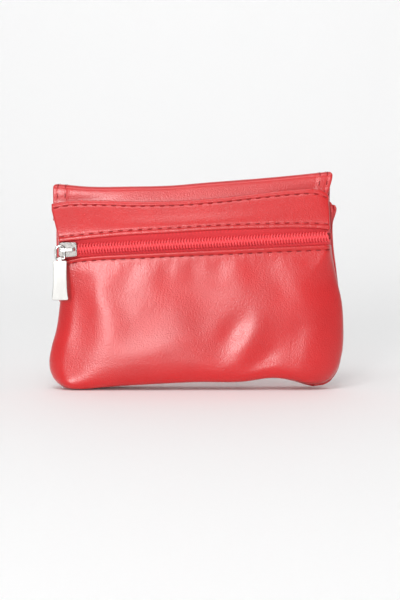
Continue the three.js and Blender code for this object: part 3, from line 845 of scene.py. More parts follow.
@functools.cache
def lining_twill():
    """Cotton twill lining."""
    # Slanting ribs 1.9 mm apart, drawn several times as coarse as real ones so that they show
    finish, tree, shader = new_finish("Cotton twill")
    spot = node(tree, "ShaderNodeUVMap", uv_map="weave").outputs["UV"]
    slant = (0, 0, math.radians(52))
    turned = node(tree, "ShaderNodeMapping", {"Vector": spot, "Rotation": slant}).outputs["Vector"]
    ribs = node(
        tree,
        "ShaderNodeTexWave",
        {"Vector": turned, "Scale": wave_scale(1.885), "Distortion": 0.6, "Detail": 2.0},
    ).outputs["Fac"]
    slubs = node(
        tree, "ShaderNodeTexNoise", {"Vector": spot, "Scale": noise_scale(1.2), "Detail": 3.0}
    ).outputs["Fac"]
    cloth = node(tree, "ShaderNodeMath", {0: ribs, 1: slubs}, operation="MULTIPLY").outputs[0]
    colour = bpy.context.scene.purse_colours.lining
    dark, light = tone(colour, 0.6), tone(colour, 1.5)
    dyed = node(tree, "ShaderNodeMix", {0: cloth, 6: dark, 7: light}, data_type="RGBA").outputs[2]
    bump = node(
        tree, "ShaderNodeBump", {"Strength": 0.5, "Distance": 0.1 * MM, "Height": cloth}
    ).outputs["Normal"]
    feed(tree, shader, {"Base Color": dyed, "Roughness": 0.9, "Normal": bump, "Sheen Weight": 0.25})
    return finish


@functools.cache
def woven_tape():
    """Polyester zip tape, woven in a herringbone."""
    # Matt with a slight sheen. Its ribs turn to the other slant every 1.1 mm
    # They lie 1.6 mm apart, drawn coarser than real ones so that they show
    finish, tree, shader = new_finish("Woven polyester tape")
    spot = node(tree, "ShaderNodeUVMap", uv_map="weave").outputs["UV"]
    apart = node(tree, "ShaderNodeSeparateXYZ", {"Vector": spot}).outputs
    row = node(tree, "ShaderNodeMath", {0: apart["Y"], 1: 1.1 * MM}, operation="PINGPONG").outputs[0]
    slanted = node(tree, "ShaderNodeMath", {0: apart["X"], 1: row}, operation="ADD").outputs[0]
    along = node(tree, "ShaderNodeCombineXYZ", {"X": slanted}).outputs["Vector"]
    ribs = node(
        tree, "ShaderNodeTexWave", {"Vector": along, "Scale": wave_scale(1.571)}
    ).outputs["Fac"]
    colour = bpy.context.scene.purse_colours.tape
    dark, light = tone(colour, 0.84), tone(colour)
    dyed = node(tree, "ShaderNodeMix", {0: ribs, 6: dark, 7: light}, data_type="RGBA").outputs[2]
    bump = node(
        tree, "ShaderNodeBump", {"Strength": 0.5, "Distance": 0.1 * MM, "Height": ribs}
    ).outputs["Normal"]
    feed(tree, shader, {"Base Color": dyed, "Roughness": 0.8, "Normal": bump, "Sheen Weight": 0.15})
    return finish


@functools.cache
def nylon_coil():
    """Nylon monofilament, drawn and wound warm."""
    # Dyed plastic wire with a soft gloss and faint draw marks
    finish, tree, shader = new_finish("Nylon monofilament")
    spot = node(tree, "ShaderNodeTexCoord").outputs["Object"]
    marks = node(
        tree, "ShaderNodeTexNoise", {"Vector": spot, "Scale": noise_scale(0.5), "Detail": 2.0}
    ).outputs["Fac"]
    gloss = node(
        tree, "ShaderNodeMapRange", {"Value": marks, "To Min": 0.28, "To Max": 0.5}
    ).outputs["Result"]
    colour = bpy.context.scene.purse_colours.coil
    dark, light = tone(colour, 0.82), tone(colour)
    dyed = node(tree, "ShaderNodeMix", {0: marks, 6: dark, 7: light}, data_type="RGBA").outputs[2]
    feed(tree, shader, {"Base Color": dyed, "Roughness": gloss, "IOR": 1.53})
    feed(tree, shader, {"Subsurface Weight": 0.1, "Subsurface Scale": 0.4 * MM})
    return finish


@functools.cache
def polished_nickel():
    """Zinc casting, polished and nickel plated."""
    # Bright mirror with faint polishing marks and slightly duller patches from handling
    finish, tree, shader = new_finish("Polished nickel plate")
    spot = node(tree, "ShaderNodeTexCoord").outputs["Object"]
    stretch = (1.0, 1.0, 0.12)
    drawn = node(tree, "ShaderNodeMapping", {"Vector": spot, "Scale": stretch}).outputs["Vector"]
    marks = node(
        tree, "ShaderNodeTexNoise", {"Vector": drawn, "Scale": noise_scale(0.4), "Detail": 3.0}
    ).outputs["Fac"]
    handled = node(
        tree, "ShaderNodeTexNoise", {"Vector": spot, "Scale": noise_scale(4), "Detail": 2.0}
    ).outputs["Fac"]
    both = node(tree, "ShaderNodeMath", {0: marks, 1: handled}, operation="MULTIPLY").outputs[0]
    gloss = node(
        tree,
        "ShaderNodeMapRange",
        {"Value": both, "From Min": 0.1, "From Max": 0.5, "To Min": 0.04, "To Max": 0.11},
    ).outputs["Result"]
    bump = node(
        tree, "ShaderNodeBump", {"Strength": 0.06, "Distance": 0.05 * MM, "Height": marks}
    ).outputs["Normal"]
    colour = tone(bpy.context.scene.purse_colours.nickel)
    feed(tree, shader, {"Base Color": colour, "Metallic": 1.0, "Roughness": gloss, "Normal": bump})
    return finish


@functools.cache
def tumbled_and_shaded_nickel():
    """Zinc casting, tumbled and nickel plated, its darker tone painted shade."""
    # Greyer than the polished parts: the darker colour is painted shade for the dark reflections and shadows
    # on the slider. Soft tumbling dents wave its reflections
    finish, tree, shader = new_finish("Tumbled nickel plate")
    spot = node(tree, "ShaderNodeTexCoord").outputs["Object"]
    dents = node(
        tree, "ShaderNodeTexNoise", {"Vector": spot, "Scale": noise_scale(1.1), "Detail": 2.0}
    ).outputs["Fac"]
    gloss = node(
        tree, "ShaderNodeMapRange", {"Value": dents, "To Min": 0.05, "To Max": 0.14}
    ).outputs["Result"]
    bump = node(
        tree, "ShaderNodeBump", {"Strength": 0.15, "Distance": 0.1 * MM, "Height": dents}
    ).outputs["Normal"]
    # Darker base colour: painted shade for the slider's dark reflections and shadows
    colour = tone(bpy.context.scene.purse_colours.casting)
    feed(tree, shader, {"Base Color": colour, "Metallic": 1.0, "Roughness": gloss, "Normal": bump})
    return finish


@functools.cache
def bonded_thread():
    """Bonded polyester thread, three strands twisted."""
    # Slanting strands and a waxy gloss; their crests lie 2.8 mm apart, coarser than real so that they show
    finish, tree, shader = new_finish("Bonded polyester thread")
    spot = node(tree, "ShaderNodeUVMap", uv_map="thread").outputs["UV"]
    slant = (0, 0, math.radians(30))
    turned = node(tree, "ShaderNodeMapping", {"Vector": spot, "Rotation": slant}).outputs["Vector"]
    strands = node(
        tree, "ShaderNodeTexWave", {"Vector": turned, "Scale": wave_scale(2.827)}
    ).outputs["Fac"]
    colour = bpy.context.scene.purse_colours.thread
    dark, light = tone(colour, 0.7), tone(colour)
    dyed = node(tree, "ShaderNodeMix", {0: strands, 6: dark, 7: light}, data_type="RGBA").outputs[2]
    bump = node(
        tree, "ShaderNodeBump", {"Strength": 0.4, "Distance": 0.1 * MM, "Height": strands}
    ).outputs["Normal"]
    feed(tree, shader, {"Base Color": dyed, "Roughness": 0.5, "Normal": bump})
    return finish


@functools.cache
def matt_board():
    """Pale matt board of the studio's floor."""
    # Even white with a hardly visible tooth
    finish, tree, shader = new_finish("Matt white board")
    spot = node(tree, "ShaderNodeTexCoord").outputs["Object"]
    tooth = node(
        tree, "ShaderNodeTexNoise", {"Vector": spot, "Scale": noise_scale(2), "Detail": 3.0}
    ).outputs["Fac"]
    colour = bpy.context.scene.purse_colours.floor
    dark, light = tone(colour, 0.98), tone(colour)
    white = node(tree, "ShaderNodeMix", {0: tooth, 6: dark, 7: light}, data_type="RGBA").outputs[2]
    feed(tree, shader, {"Base Color": white, "Roughness": 0.7, "Specular IOR Level": 0.2})
    return finish


@functools.cache
def along_path():
    """Geometry nodes that set a small shape out along paths, a fixed distance apart."""
    tree = bpy.data.node_groups.new("Set out along a path", "GeometryNodeTree")
    sockets = {}
    for name, kind in (
        ("Paths", "NodeSocketGeometry"),
        ("Spacing", "NodeSocketFloat"),
        ("Unevenness", "NodeSocketFloat"),
        ("Shape", "NodeSocketObject"),
        ("Finish", "NodeSocketMaterial"),
    ):
        sockets[name] = tree.interface.new_socket(name, in_out="INPUT", socket_type=kind)
    tree.interface.new_socket("Made", in_out="OUTPUT", socket_type="NodeSocketGeometry")
    given = node(tree, "NodeGroupInput").outputs
    curve = node(tree, "GeometryNodeMeshToCurve", {"Mesh": given["Paths"]}).outputs["Curve"]
    steps = node(
        tree, "GeometryNodeResampleCurve", {"Curve": curve, "Length": given["Spacing"]}, mode="LENGTH"
    ).outputs["Curve"]
    out = node(
        tree, "GeometryNodeInputNamedAttribute", {"Name": "out"}, data_type="FLOAT_VECTOR"
    ).outputs["Attribute"]
    ahead = node(tree, "GeometryNodeInputTangent").outputs["Tangent"]
    facing = node(
        tree,
        "FunctionNodeAxesToRotation",
        {"Primary Axis": out, "Secondary Axis": ahead},
        primary_axis="Z",
        secondary_axis="X",
    ).outputs["Rotation"]
    most = given["Unevenness"]
    least = node(tree, "ShaderNodeMath", {0: most, 1: -1.0}, operation="MULTIPLY").outputs[0]
    uneven = node(
        tree, "FunctionNodeRandomValue", {2: least, 3: most, "Seed": 5}, data_type="FLOAT"
    ).outputs[1]
    swing = node(tree, "ShaderNodeCombineXYZ", {"Z": uneven}).outputs["Vector"]
    turn = node(tree, "FunctionNodeEulerToRotation", {"Euler": swing}).outputs["Rotation"]
    swung = node(
        tree,
        "FunctionNodeRotateRotation",
        {"Rotation": facing, "Rotate By": turn},
        rotation_space="LOCAL",
    ).outputs["Rotation"]
    shape = node(
        tree, "GeometryNodeObjectInfo", {"Object": given["Shape"], "As Instance": True}
    ).outputs["Geometry"]
    placed = node(
        tree, "GeometryNodeInstanceOnPoints", {"Points": steps, "Instance": shape, "Rotation": swung}
    ).outputs["Instances"]
    real = node(tree, "GeometryNodeRealizeInstances", {"Geometry": placed}).outputs["Geometry"]
    dressed = node(
        tree, "GeometryNodeSetMaterial", {"Geometry": real, "Material": given["Finish"]}
    ).outputs["Geometry"]
    node(tree, "NodeGroupOutput", {"Made": dressed})
    return tree, sockets


def set_out(name, rows, shape, spacing, unevenness, finish):
    """One mesh with a small shape set out along rows of (points, outward directions)."""
    points, ways, edges = [], [], []
    for places, out in rows:
        start = sum(len(p) for p in points)
        edges.extend((start + i, start + i + 1) for i in range(len(places) - 1))
        points.append(places)
        ways.append(out)
    mesh = bpy.data.meshes.new(name)
    mesh.from_pydata((np.vstack(points) * MM).tolist(), edges, [])
    outward = mesh.attributes.new("out", "FLOAT_VECTOR", "POINT")
    outward.data.foreach_set("vector", np.vstack(ways).ravel())
    piece = bpy.data.objects.new(name, mesh)
    bpy.context.collection.objects.link(piece)
    tree, sockets = along_path()
    maker = piece.modifiers.new("Set out", "NODES")
    maker.node_group = tree
    given = {"Spacing": spacing, "Unevenness": unevenness, "Shape": shape, "Finish": finish}
    for key, value in given.items():
        maker[sockets[key].identifier] = value
    finish_modifiers(piece)
    bpy.data.objects.remove(shape)
    return piece


def tie(piece, body=None, replaces=(), bend=None):
    """Ties a finished piece to a body of the frame and hides the parts that it replaces; a piece given a
    bend only has its placement baked into its mesh.
    """
    if bend:
        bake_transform(piece)
    else:
        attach(piece, body)
    if replaces:
        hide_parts(*replaces)


def panel(name, face, thickness, node_name):
    """Leather panel sewn into the purse's body."""
    piece = sheet(name, face, thickness, plated_leather())
    tie(piece, "purse_body", [node_name])


def flap_bend(which):
    """Bodies and bending zone of the flap at its root or its shoulder."""
    up = np.array(ZIP_UP)
    if which == "root":
        # The zone leans back, along the zip's upward direction and towards the rear
        start = np.array((0, ROOT_Y, 81.8))
        end = start + 1.5 * (up + (0, 1, 0))
        return "purse_body", "flap_fold", tuple(start * MM), tuple(end * MM)
    start = np.array((0, TONGUE_Y, SHOULDER - 0.3))
    return "flap_fold", "flap_tongue", tuple(start * MM), tuple((start - up * 4) * MM)


LENGTH = {"unit": "LENGTH", "precision": 5}
COLOUR = {"subtype": "COLOR", "min": 0, "max": 1}


class PurseSizes(bpy.types.PropertyGroup):
    """Sizes of the materials and the sewing"""

    leather: bpy.props.FloatProperty(
        name="Leather", description="Thickness of the leather", default=1.2 * MM, min=0.6 * MM, **LENGTH
    )
    lining: bpy.props.FloatProperty(
        name="Lining", description="Thickness of the lining cloth", default=0.4 * MM, **LENGTH
    )
    grain: bpy.props.FloatProperty(
        name="Grain", description="Width of one pebble of the grain", default=0.5 * MM, **LENGTH
    )
    stitch_pitch: bpy.props.FloatProperty(
        name="Stitch pitch", description="From one stitch to the next", default=STITCH_PITCH * MM, **LENGTH
    )
    stitch_length: bpy.props.FloatProperty(
        name="Stitch length", description="Thread seen of one stitch", default=2.4 * MM, **LENGTH
    )
    thread: bpy.props.FloatProperty(
        name="Thread", description="Thickness of the thread", default=0.44 * MM, **LENGTH
    )
    coil_pitch: bpy.props.FloatProperty(
        name="Coil pitch", description="From one loop of the coil to the next", default=1.226 * MM, **LENGTH
    )
    coil_wire: bpy.props.FloatProperty(
        name="Coil wire", description="Thickness of the coil's nylon wire", default=0.78 * MM, **LENGTH
    )


class PurseColours(bpy.types.PropertyGroup):
    """Colours of the materials"""

    leather: bpy.props.FloatVectorProperty(
        name="Leather", description="Main red of the leather", default=linear("CC171A"), **COLOUR
    )
    leather_deep: bpy.props.FloatVectorProperty(
        name="Deep leather", description="Red in the pits of the grain", default=linear("BE1114"), **COLOUR
    )
    lining: bpy.props.FloatVectorProperty(
        name="Lining", description="Dark red of the lining", default=linear("9C2B32"), **COLOUR
    )
    tape: bpy.props.FloatVectorProperty(
        name="Zip tape", description="Red of the zip's tape", default=linear("E63A41"), **COLOUR
    )
    coil: bpy.props.FloatVectorProperty(
        name="Coil", description="Red of the zip's coil", default=linear("F2474E"), **COLOUR
    )
    thread: bpy.props.FloatVectorProperty(
        name="Thread", description="Red of the sewing thread", default=linear("A00C13"), **COLOUR
    )
    nickel: bpy.props.FloatVectorProperty(
        name="Nickel", description="Tone of the plating", default=linear("CFCECB"), **COLOUR
    )
    # The casting's darker tone is painted shade, standing in for the slider's dark reflections and shadows
    casting: bpy.props.FloatVectorProperty(
        name="Casting", description="Tone of the slider's casting", default=linear("8E8B88"), **COLOUR
    )
    floor: bpy.props.FloatVectorProperty(
        name="Floor", description="Tone of the studio's floor", default=linear("FDFDFD"), **COLOUR
    )


class PURSE_OT_front_leather(bpy.types.Operator):
    """Makes the zipped pocket's front and the band over the zip"""

    bl_idname = "purse.front_leather"
    bl_label = "Front leather"

    def execute(self, context):
        thickness = context.scene.purse_sizes.leather / MM
        panel("Pocket_front", pocket_face(), thickness, "front_lower_panel")
        panel("Zip_band", band_face(), thickness, "front_upper_band")
        return {"FINISHED"}


class PURSE_OT_rear_leather(bpy.types.Operator):
    """Makes the rear panel and the divider that both sides are sewn to"""

    bl_idname = "purse.rear_leather"
    bl_label = "Rear leather"

    def execute(self, context):
        thickness = context.scene.purse_sizes.leather / MM
        panel("Rear_panel", rear_face(), thickness, "rear_panel")
        front = SEAM_Y - DIVIDER_THICKNESS / 2
        middle = flat_face(front, 0.5, DIVIDER_TOP, 0.3, DIVIDER_RIGHT_EDGE)
        panel("Divider", middle, DIVIDER_THICKNESS, "pocket_divider")
        return {"FINISHED"}


class PURSE_OT_flap(bpy.types.Operator):
    """Makes the flap's fold over the top and its tongue on the far side"""

    bl_idname = "purse.flap"
    bl_label = "Flap"

    def execute(self, context):
        thickness = context.scene.purse_sizes.leather / MM
        fold = sheet("Flap_fold", fold_face(), thickness, plated_leather(), square=("high",))
        tie(fold, replaces=["flap_root", "flap_fold_leather"], bend=flap_bend("root"))
        fold_face()
        tongue = sheet("Flap_tongue", tongue_face(), thickness, plated_leather(), square=("low",))
        tie(tongue, replaces=["flap_tongue_leather"], bend=flap_bend("shoulder"))
        tongue_face()
        return {"FINISHED"}


class PURSE_OT_linings(bpy.types.Operator):
    """Makes the cloth linings of both compartments and of the flap"""

    bl_idname = "purse.linings"
    bl_label = "Linings"

    def execute(self, context):
        sizes = context.scene.purse_sizes
        thickness = sizes.lining / MM
        below = sizes.leather / MM + GAP
        in_pocket = pocket_face().part((-0.94, 0.94), (0.08, 0.84))
        in_rear = rear_face().part((-0.94, 0.94), (0.06, 0.98))
        pocket_back = flat_face(POCKET_LINING_Y, LINING_FOOT, 73.3, LINING_INSET, RIGHT_EDGE)
        main_front = flat_face(MAIN_LINING_Y, LINING_FOOT, 78.6, LINING_INSET, RIGHT_EDGE)
        sewn = (
            ("Pocket_lining_front", in_pocket, below, "pocket_lining_front", "Pocket_front"),
            ("Pocket_lining_back", pocket_back, 0, "pocket_lining_back", "Divider"),
            ("Main_lining_front", main_front, 0, "main_lining_front", "Divider"),
            ("Main_lining_rear", in_rear, below, "main_lining_rear", "Rear_panel"),
        )
        for name, face, behind, node_name, holder in sewn:
            piece = sheet(name, face, thickness, lining_twill(), behind)
            tie(piece, "purse_body", [node_name])
        in_fold = fold_face().part((-0.985, 0.985), (0.02, 1))
        fold = sheet("Flap_fold_lining", in_fold, thickness, lining_twill(), below, ("high",))
        tie(fold, replaces=["flap_fold_lining"], bend=flap_bend("root"))
        in_tongue = tongue_face().part((-0.985, 0.985), (0, 0.99))
        tongue = sheet("Flap_tongue_lining", in_tongue, thickness, lining_twill(), below, ("low",))
        tie(tongue, replaces=["flap_tongue_lining"], bend=flap_bend("shoulder"))
        return {"FINISHED"}


class PURSE_OT_zip_tapes(bpy.types.Operator):
    """Makes the two halves of the zip's tape"""

    bl_idname = "purse.zip_tapes"
    bl_label = "Zip tapes"

    def tape_face(self, side, hidden, narrow):
        """Half of the tape, which is shorter and lies straight where the leather hides it."""

        def shape(u, share):
            z = TAPE_START + (hidden - TAPE_START) * share
            inner = smooth(z, narrow, narrow + 1.5)
            reach = TAPE_HALF - TAPE_SHORTER * inner
            seam = TAPE_TURN * (1 - bowed(u, reach, LIP_ROUND)) * (1 - inner)
            back = turned_away(reach * u, ZIP_HEIGHT) * smooth(-side * z, 3.0, 4.5)
            return zip_place(reach * u, back + seam, side * z)

        return Face(shape, spread(160, -1, 1, 0.012), spread(16, 0, 1, 0.03), outward=side)

    def execute(self, context):
        # Each half's far edge, and where the leather starts to hide it, from the middle line
        for name, side, hidden, narrow in (("upper", 1, 7.5, 2.6), ("lower", -1, 9.5, 3.6)):
            face = self.tape_face(side, hidden, narrow)
            tape = sheet(f"Zip_tape_{name}", face, TAPE_THICKNESS, woven_tape())
            tie(tape, "purse_body", [f"zip_tape_{name}"])
        return {"FINISHED"}


class PURSE_OT_zip_coils(bpy.types.Operator):
    """Winds the two rows of the zip's coil"""

    bl_idname = "purse.zip_coils"
    bl_label = "Zip coils"

    def execute(self, context):
        sizes = context.scene.purse_sizes
        pitch = sizes.coil_pitch / MM
        radius = sizes.coil_wire / MM / 2
        # One loop of the wire: along the zip, across it and out of the tape
        loop = (
            (-0.30, 1.8, 0.46),
            (-0.12, 0.0, 0.5),
            (-0.04, -0.42, 0.62),
            (0.0, -0.55, 0.92),
            (0.04, -0.42, 1.2),
            (0.12, 0.0, 1.32),
            (0.26, 1.65, 1.34),
            (0.4, 1.95, 1.15),
            (0.7, COIL_REACH, 0.66),
            (pitch - 0.30, 1.8, 0.46),
        )
        # The two rows start about half a loop apart
        for name, side, start in (("upper", 1, -55.0), ("lower", -1, -54.4)):
            points, faces = tube(np.array(loop) * (1, side, 1), radius, 7)
            shape = build("coil_loop", points, faces, nylon_coil())
            # The line is a little longer than the loops, so that the last one is set out too
            ends = np.array((start, start + (COIL_LOOPS + 0.01) * pitch))
            line = np.stack(np.broadcast_arrays(*zip_place(ends, 0.0, 0.0)), axis=-1)
            out = np.tile((0.0, -1.0, 0.0), (2, 1))
            coil = set_out(f"Zip_coil_{name}", [(line, out)], shape, sizes.coil_pitch, 0.0, nylon_coil())
            tie(coil, "purse_body", [f"zip_coil_{name}"])
            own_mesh(coil)
        return {"FINISHED"}


class PURSE_OT_zip_slider(bpy.types.Operator):
    """Makes the slider's casting and the bridge that holds the pull"""

    bl_idname = "purse.zip_slider"
    bl_label = "Zip slider"

    def execute(self, context):
        upper = [(-3.8, 2.0), (-3.3, 2.9), (-2.2, 3.2), (0.6, 3.1), (3.0, 3.05), (3.6, 2.75), (3.8, 2.25)]
        shield = upper + [(x, -z) for x, z in upper[::-1]]
        wedge = [(-3.7, 0.6), (-2.6, 0.95), (-1.3, 0.1), (-1.3, -0.1), (-2.6, -0.95), (-3.7, -0.6)]
        parts = [slab(shield, SLIDER_FACE, -1.95), slab(shield, 0.85, 1.65), slab(wedge, -2.4, 1.2)]
        for side in (-1, 1):
            flange = [(-2.0, side * 2.35), (2.9, side * 2.35), (2.9, side * 3.02), (-2.0, side * 3.02)]
            parts.append(slab(flange, -2.5, -0.35))
        body = build("Slider_body", *on_slider(joined(*parts)), tumbled_and_shaded_nickel())
        rounded(body, 0.22)
        tie(body, "slider", ["slider_body"])

        # The strap is drawn from the side, along the zip and out of the casting, then turned into place
        top = 2.9
        corner = 1.1
        strap = np.concatenate(
            (
                [(-3.65, 0.0)],
                arc(-2.55, top - corner, corner, 180, 90),
                arc(1.95, top - corner, corner, 90, 0),
                [(3.05, 0.0), (2.35, 0.0)],
                arc(1.8, 1.65, 0.55, 0, 90, 6),
                arc(-2.45, 1.9, 0.3, 90, 180, 6),
                [(-2.75, 0.0)],
            )
        )
        points, faces = slab(strap, -0.7, 0.7)
        along, across, out = points.T
        points = np.stack((along, SLIDER_FACE + 0.05 - out, across), axis=-1)
        bridge = build("Slider_bridge", *on_slider((points, faces)), polished_nickel())
        rounded(bridge, 0.2)
        tie(bridge, "slider", ["slider_bridge"])
        return {"FINISHED"}


class PURSE_OT_zip_pull(bpy.types.Operator):
    """Makes the pull's wire loop and its metal tab"""

    bl_idname = "purse.zip_pull"
    bl_label = "Zip pull"

    def loop(self, x, y, z):
        """Wire loop that hangs from a point, round at the top and square at the bottom."""
        low = -LOOP_DROP + LOOP_CORNER
        inward = LOOP_HALF - LOOP_CORNER
        outline = np.concatenate(
            (
                arc(0, 0, LOOP_HALF, 0, 180, 25),
                [(-LOOP_HALF, side) for side in np.linspace(-0.7, low + 0.5, 5)],
                arc(-inward, low, LOOP_CORNER, 180, 270, 8),
                [(bar, -LOOP_DROP) for bar in np.linspace(-0.7, 0.7, 5)],
                arc(inward, low, LOOP_CORNER, 270, 360, 8),
                [(LOOP_HALF, side) for side in np.linspace(low + 0.5, -0.7, 5)],
            )
        )
        path = np.stack((outline[:, 0] + x, np.full(len(outline), y), outline[:, 1] + z), axis=-1)
        return tube(path, LOOP_WIRE, 14, closed=True)

    def tab(self, x, y, bar):
        """Tab that widens towards its end, with the narrow neck of its hook round the loop's bar."""
        top = bar + 0.8
        end = top - TAB_LENGTH
        level = bar - 0.75
        side = np.concatenate(
            (
                [(2.98, level)],
                bezier(((2.92, level - 1), (2.85, top - 5), (2.85, top - 7)), 8),
                bezier(((2.85, top - 7), (2.85, end + 5), (3.5, end + 0.8)), 9)[1:],
                bezier(((3.5, end + 0.8), (3.5, end), (2.7, end)), 6)[1:],
            )
        )
        plate = np.concatenate((side, (side * (-1, 1))[::-1]))
        low = level - 0.6
        neck = np.array([(-TAB_NECK, top), (-TAB_NECK, low), (TAB_NECK, low), (TAB_NECK, top)])
        front, back = y - 1.3, y + 0.55
        return joined(slab(plate + (x, 0), front, back), slab(neck + (x, 0), front, front + 0.6))

    def hook(self, x, y, bar):
        """Strip that curls round the loop's bar."""
        outer = arc(y, bar, HOOK_OUTER, -125, 160, 22)
        inner = arc(y, bar, HOOK_INNER, 160, -125, 22)
        ring = np.concatenate((outer, inner))
        points, faces = slab(ring, -TAB_NECK, TAB_NECK)
        points = np.stack((points[:, 1] + x, points[:, 0], points[:, 2]), axis=-1)
        return points, [f[::-1] for f in faces]

    def execute(self, context):
        x, y, z = zip_place(PULL_AT, PULL_OUT, 0)
        bail = build("Pull_loop", *self.loop(x, y, z), polished_nickel())
        tie(bail, "bail", ["pull_bail"])
        bar = z - LOOP_DROP
        tab = build("Pull_tab", *self.tab(x, y, bar), polished_nickel())
        rounded(tab, 0.4, 4)
        knuckle = build("Pull_hook", *self.hook(x, y, bar), polished_nickel())
        rounded(knuckle, 0.08, 2)
        tie(tab, "tab", ["pull_tab"])
        tie(knuckle, "tab")
        return {"FINISHED"}


class PURSE_OT_press_stud(bpy.types.Operator):
    """Turns the four parts of the press stud behind the flap"""

    bl_idname = "purse.press_stud"
    bl_label = "Press stud"

    def execute(self, context):
        # Outlines (radius, depth) from the middle of each part's one end to the middle of its other end
        dome = [(6.0 * math.sin(a), 13.2 + 1.15 * math.cos(a)) for a in np.linspace(0, math.pi / 2, 12)]
        rim = [(5.95, 13.0), (5.6, 12.9)]
        rivet = [(1.3, 12.9), (1.3, 11.2), (1.1, 11.05), (0, 11.05)]
        flange = [(0, 10.95), (1.4, 11.0), (4.4, 11.0), (4.7, 10.8), (4.8, 10.4)]
        mouth = [(4.6, 9.5), (4.0, 9.12), (3.2, 9.15), (2.8, 9.4), (2.75, 10.2), (2.5, 10.5), (0, 10.55)]
        knob = [(0, 10.3), (1.3, 10.25), (1.85, 10.0), (2.1, 9.6), (2.05, 9.2), (1.75, 8.95)]
        foot = [(1.8, 8.85), (3.4, 8.8), (3.9, 8.6), (4.0, 8.4), (0, 8.35)]
        post = [(0, 8.3), (1.2, 8.3), (1.3, 8.2), (1.3, 6.35), (3.3, 6.3), (3.6, 6.1), (3.5, 5.9), (0, 5.85)]
        turned = (
            ("Stud_cap", "flap_tongue", "snap_cap", dome + rim + rivet),
            ("Stud_socket", "flap_tongue", "snap_socket", flange + mouth),
            ("Stud_ball", "purse_body", "snap_stud", knob + foot),
            ("Stud_post", "purse_body", "snap_post", post),
        )
        for name, body, node_name, outline in turned:
            piece = build(name, *lathe(outline, STUD_Z), polished_nickel())
            piece.data.set_sharp_from_angle(angle=math.radians(40))
            tie(piece, body, [node_name])
        return {"FINISHED"}


class PURSE_OT_stitching(bpy.types.Operator):
    """Sews the turned edges of the panels and the flap's hems"""

    bl_idname = "purse.stitching"
    bl_label = "Stitching"

    def stitch(self, sizes):
        """One stitch, a short thread whose ends dip into the leather."""
        half = sizes.stitch_length / MM / 2
        x = np.linspace(-half, half, 7)
        path = np.stack((x, 0 * x, 0.17 - 0.45 * (x / half) ** 4), axis=-1)
        sides = 7
        points, faces = tube(path, sizes.thread / MM / 2, sides)
        shape = build("stitch", points, faces, bonded_thread())
        turn = np.tile(np.arange(sides) / sides, len(path)) * math.pi * sizes.thread
        map_points(shape.data, "thread", np.stack((points[:, 0] * MM, turn), axis=-1))
        return shape

    def sew(self, name, rows):
        """One mesh of stitches along rows of places on the leather."""
        sizes = bpy.context.scene.purse_sizes
        return set_out(name, rows, self.stitch(sizes), sizes.stitch_pitch, 0.05, bonded_thread())

    def execute(self, context):
        across = np.linspace(-0.965, 0.965, 240)
        lower = 1 - LOWER_LIP_ROW / POCKET_PROFILE.length
        upper = UPPER_LIP_ROW / BAND_PROFILE.length
        brim = 1 - BAND_ROW / BAND_PROFILE.length
        mouth = 1 - LOWER_LIP_ROW / REAR_PROFILE.length
        edges = (
            (pocket_face(), lower, -0.06),
            (band_face(), upper, -0.12),
            (band_face(), brim, 0.0),
            (rear_face(), mouth, 0.0),
        )
        rows = [face.at(across, np.full(len(across), share), out) for face, share, out in edges]
        tie(self.sew("Stitches_body", rows), "purse_body")
        hems = [side * (1 - row / FLAP_HALF) for row in HEM_ROWS for side in (-1, 1)]
        sunk = -0.16
        up = np.linspace(0.075, FLAP_SHOULDER, 90)
        rows = [fold_face().at(np.full(len(up), u), up, sunk) for u in hems]
        tie(self.sew("Stitches_fold", rows), bend=flap_bend("root"))
        end = 1 - HEM_ROWS[0] / FLAP_PROFILE.length
        down = np.linspace(FLAP_SHOULDER, end - 0.11, 120)
        rows = [tongue_face().at(np.full(len(down), u), down, sunk) for u in hems]
        across = np.linspace(-0.94, 0.94, 200)
        rows.append(tongue_face().at(across, np.full(len(across), end)))
        tie(self.sew("Stitches_tongue", rows), bend=flap_bend("shoulder"))
        return {"FINISHED"}


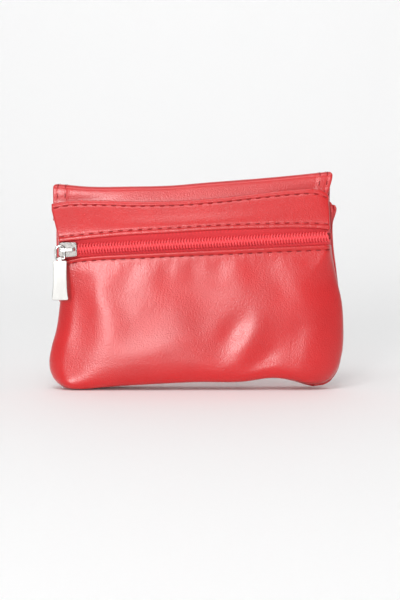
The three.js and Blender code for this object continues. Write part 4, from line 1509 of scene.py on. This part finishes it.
class PURSE_OT_stage(bpy.types.Operator):
    """Sets up the floor, the lights and the camera"""

    bl_idname = "purse.stage"
    bl_label = "Studio"

    def lay_floor(self):
        """Floor that curves up into a backdrop."""
        rising = arc(BACKDROP_START, BACKDROP_ROUND, BACKDROP_ROUND, -90, 0, 24)
        back = BACKDROP_START + BACKDROP_ROUND
        section = np.concatenate(([(FLOOR_FRONT, 0)], rising, [(back, BACKDROP_TOP)]))
        points = [(x, y, z) for y, z in section for x in (-FLOOR_HALF, FLOOR_HALF)]
        strips = [[2 * i, 2 * i + 1, 2 * i + 3, 2 * i + 2] for i in range(len(section) - 1)]
        build("Floor", points, strips, matt_board())

    def light_room(self, scene):
        """Pale walls and a white ceiling that light the room evenly."""
        world = bpy.data.worlds.new("Studio")
        scene.world = world
        world.use_nodes = True
        tree = world.node_tree
        way = node(tree, "ShaderNodeTexCoord").outputs["Generated"]
        up = node(tree, "ShaderNodeSeparateXYZ", {"Vector": way}).outputs["Z"]
        high = node(
            tree,
            "ShaderNodeMapRange",
            {"Value": up, "From Min": 0.05, "From Max": 0.75},
            interpolation_type="SMOOTHSTEP",
        ).outputs["Result"]
        wall, ceiling = tone(linear("E7E7E8")), tone(linear("FFFFFF"))
        walls = node(tree, "ShaderNodeMix", {0: high, 6: wall, 7: ceiling}, data_type="RGBA").outputs[2]
        feed(tree, tree.nodes["Background"], {"Color": walls, "Strength": ROOM_LIGHT})

    def softbox(self, name, place, aim, size, power):
        """Rectangular soft light that faces a point."""
        light = bpy.data.lights.new(name, "AREA")
        light.shape = "RECTANGLE"
        light.size, light.size_y = size
        light.energy = power
        lamp = bpy.data.objects.new(name, light)
        bpy.context.collection.objects.link(lamp)
        lamp.location = place
        x, y, z = np.array(aim) - np.array(place)
        lamp.rotation_euler = (math.atan2(math.hypot(x, y), -z), 0, math.atan2(-x, y))

    def set_camera(self, scene):
        """Camera that looks slightly down at the purse's front."""
        lens = bpy.data.cameras.new("Camera")
        lens.lens = CAMERA_SENSOR * CAMERA_DISTANCE / VIEW_HEIGHT
        camera = bpy.data.objects.new("Camera", lens)
        bpy.context.collection.objects.link(camera)
        x, y, z = CAMERA_AIM
        back = CAMERA_DISTANCE * math.cos(CAMERA_TILT)
        camera.location = (x, y - back, z + CAMERA_DISTANCE * math.sin(CAMERA_TILT))
        camera.rotation_euler = (math.pi / 2 - CAMERA_TILT, 0, 0)
        scene.camera = camera

    def execute(self, context):
        self.lay_floor()
        self.light_room(context.scene)
        for name, place, aim, size, power in LIGHTS:
            self.softbox(name, place, aim, size, power)
        context.scene.view_settings.view_transform = "Standard"
        self.set_camera(context.scene)
        return {"FINISHED"}


OPERATORS = (
    PURSE_OT_front_leather,
    PURSE_OT_rear_leather,
    PURSE_OT_flap,
    PURSE_OT_linings,
    PURSE_OT_zip_tapes,
    PURSE_OT_zip_coils,
    PURSE_OT_zip_slider,
    PURSE_OT_zip_pull,
    PURSE_OT_press_stud,
    PURSE_OT_stitching,
    PURSE_OT_stage,
)


class PURSE_PT_sidebar(bpy.types.Panel):
    """Lists the purse's sizes, colours and pieces"""

    bl_label = "Coin purse"
    bl_idname = "PURSE_PT_sidebar"
    bl_space_type = "VIEW_3D"
    bl_region_type = "UI"
    bl_category = "Purse"

    def draw(self, context):
        for group in (context.scene.purse_sizes, context.scene.purse_colours):
            for name in group.__annotations__:
                self.layout.prop(group, name)
        for operator in OPERATORS:
            self.layout.operator(operator.bl_idname)


CLASSES = (PurseSizes, PurseColours, *OPERATORS, PURSE_PT_sidebar)


def register():
    for item in CLASSES:
        bpy.utils.register_class(item)
    bpy.types.Scene.purse_sizes = bpy.props.PointerProperty(type=PurseSizes)
    bpy.types.Scene.purse_colours = bpy.props.PointerProperty(type=PurseColours)


def unregister():
    del bpy.types.Scene.purse_colours
    del bpy.types.Scene.purse_sizes
    for item in reversed(CLASSES):
        bpy.utils.unregister_class(item)


def main():
    register()
    for operator in OPERATORS:
        group, name = operator.bl_idname.split(".")
        getattr(getattr(bpy.ops, group), name)()
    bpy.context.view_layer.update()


if __name__ == "__main__":
    main()
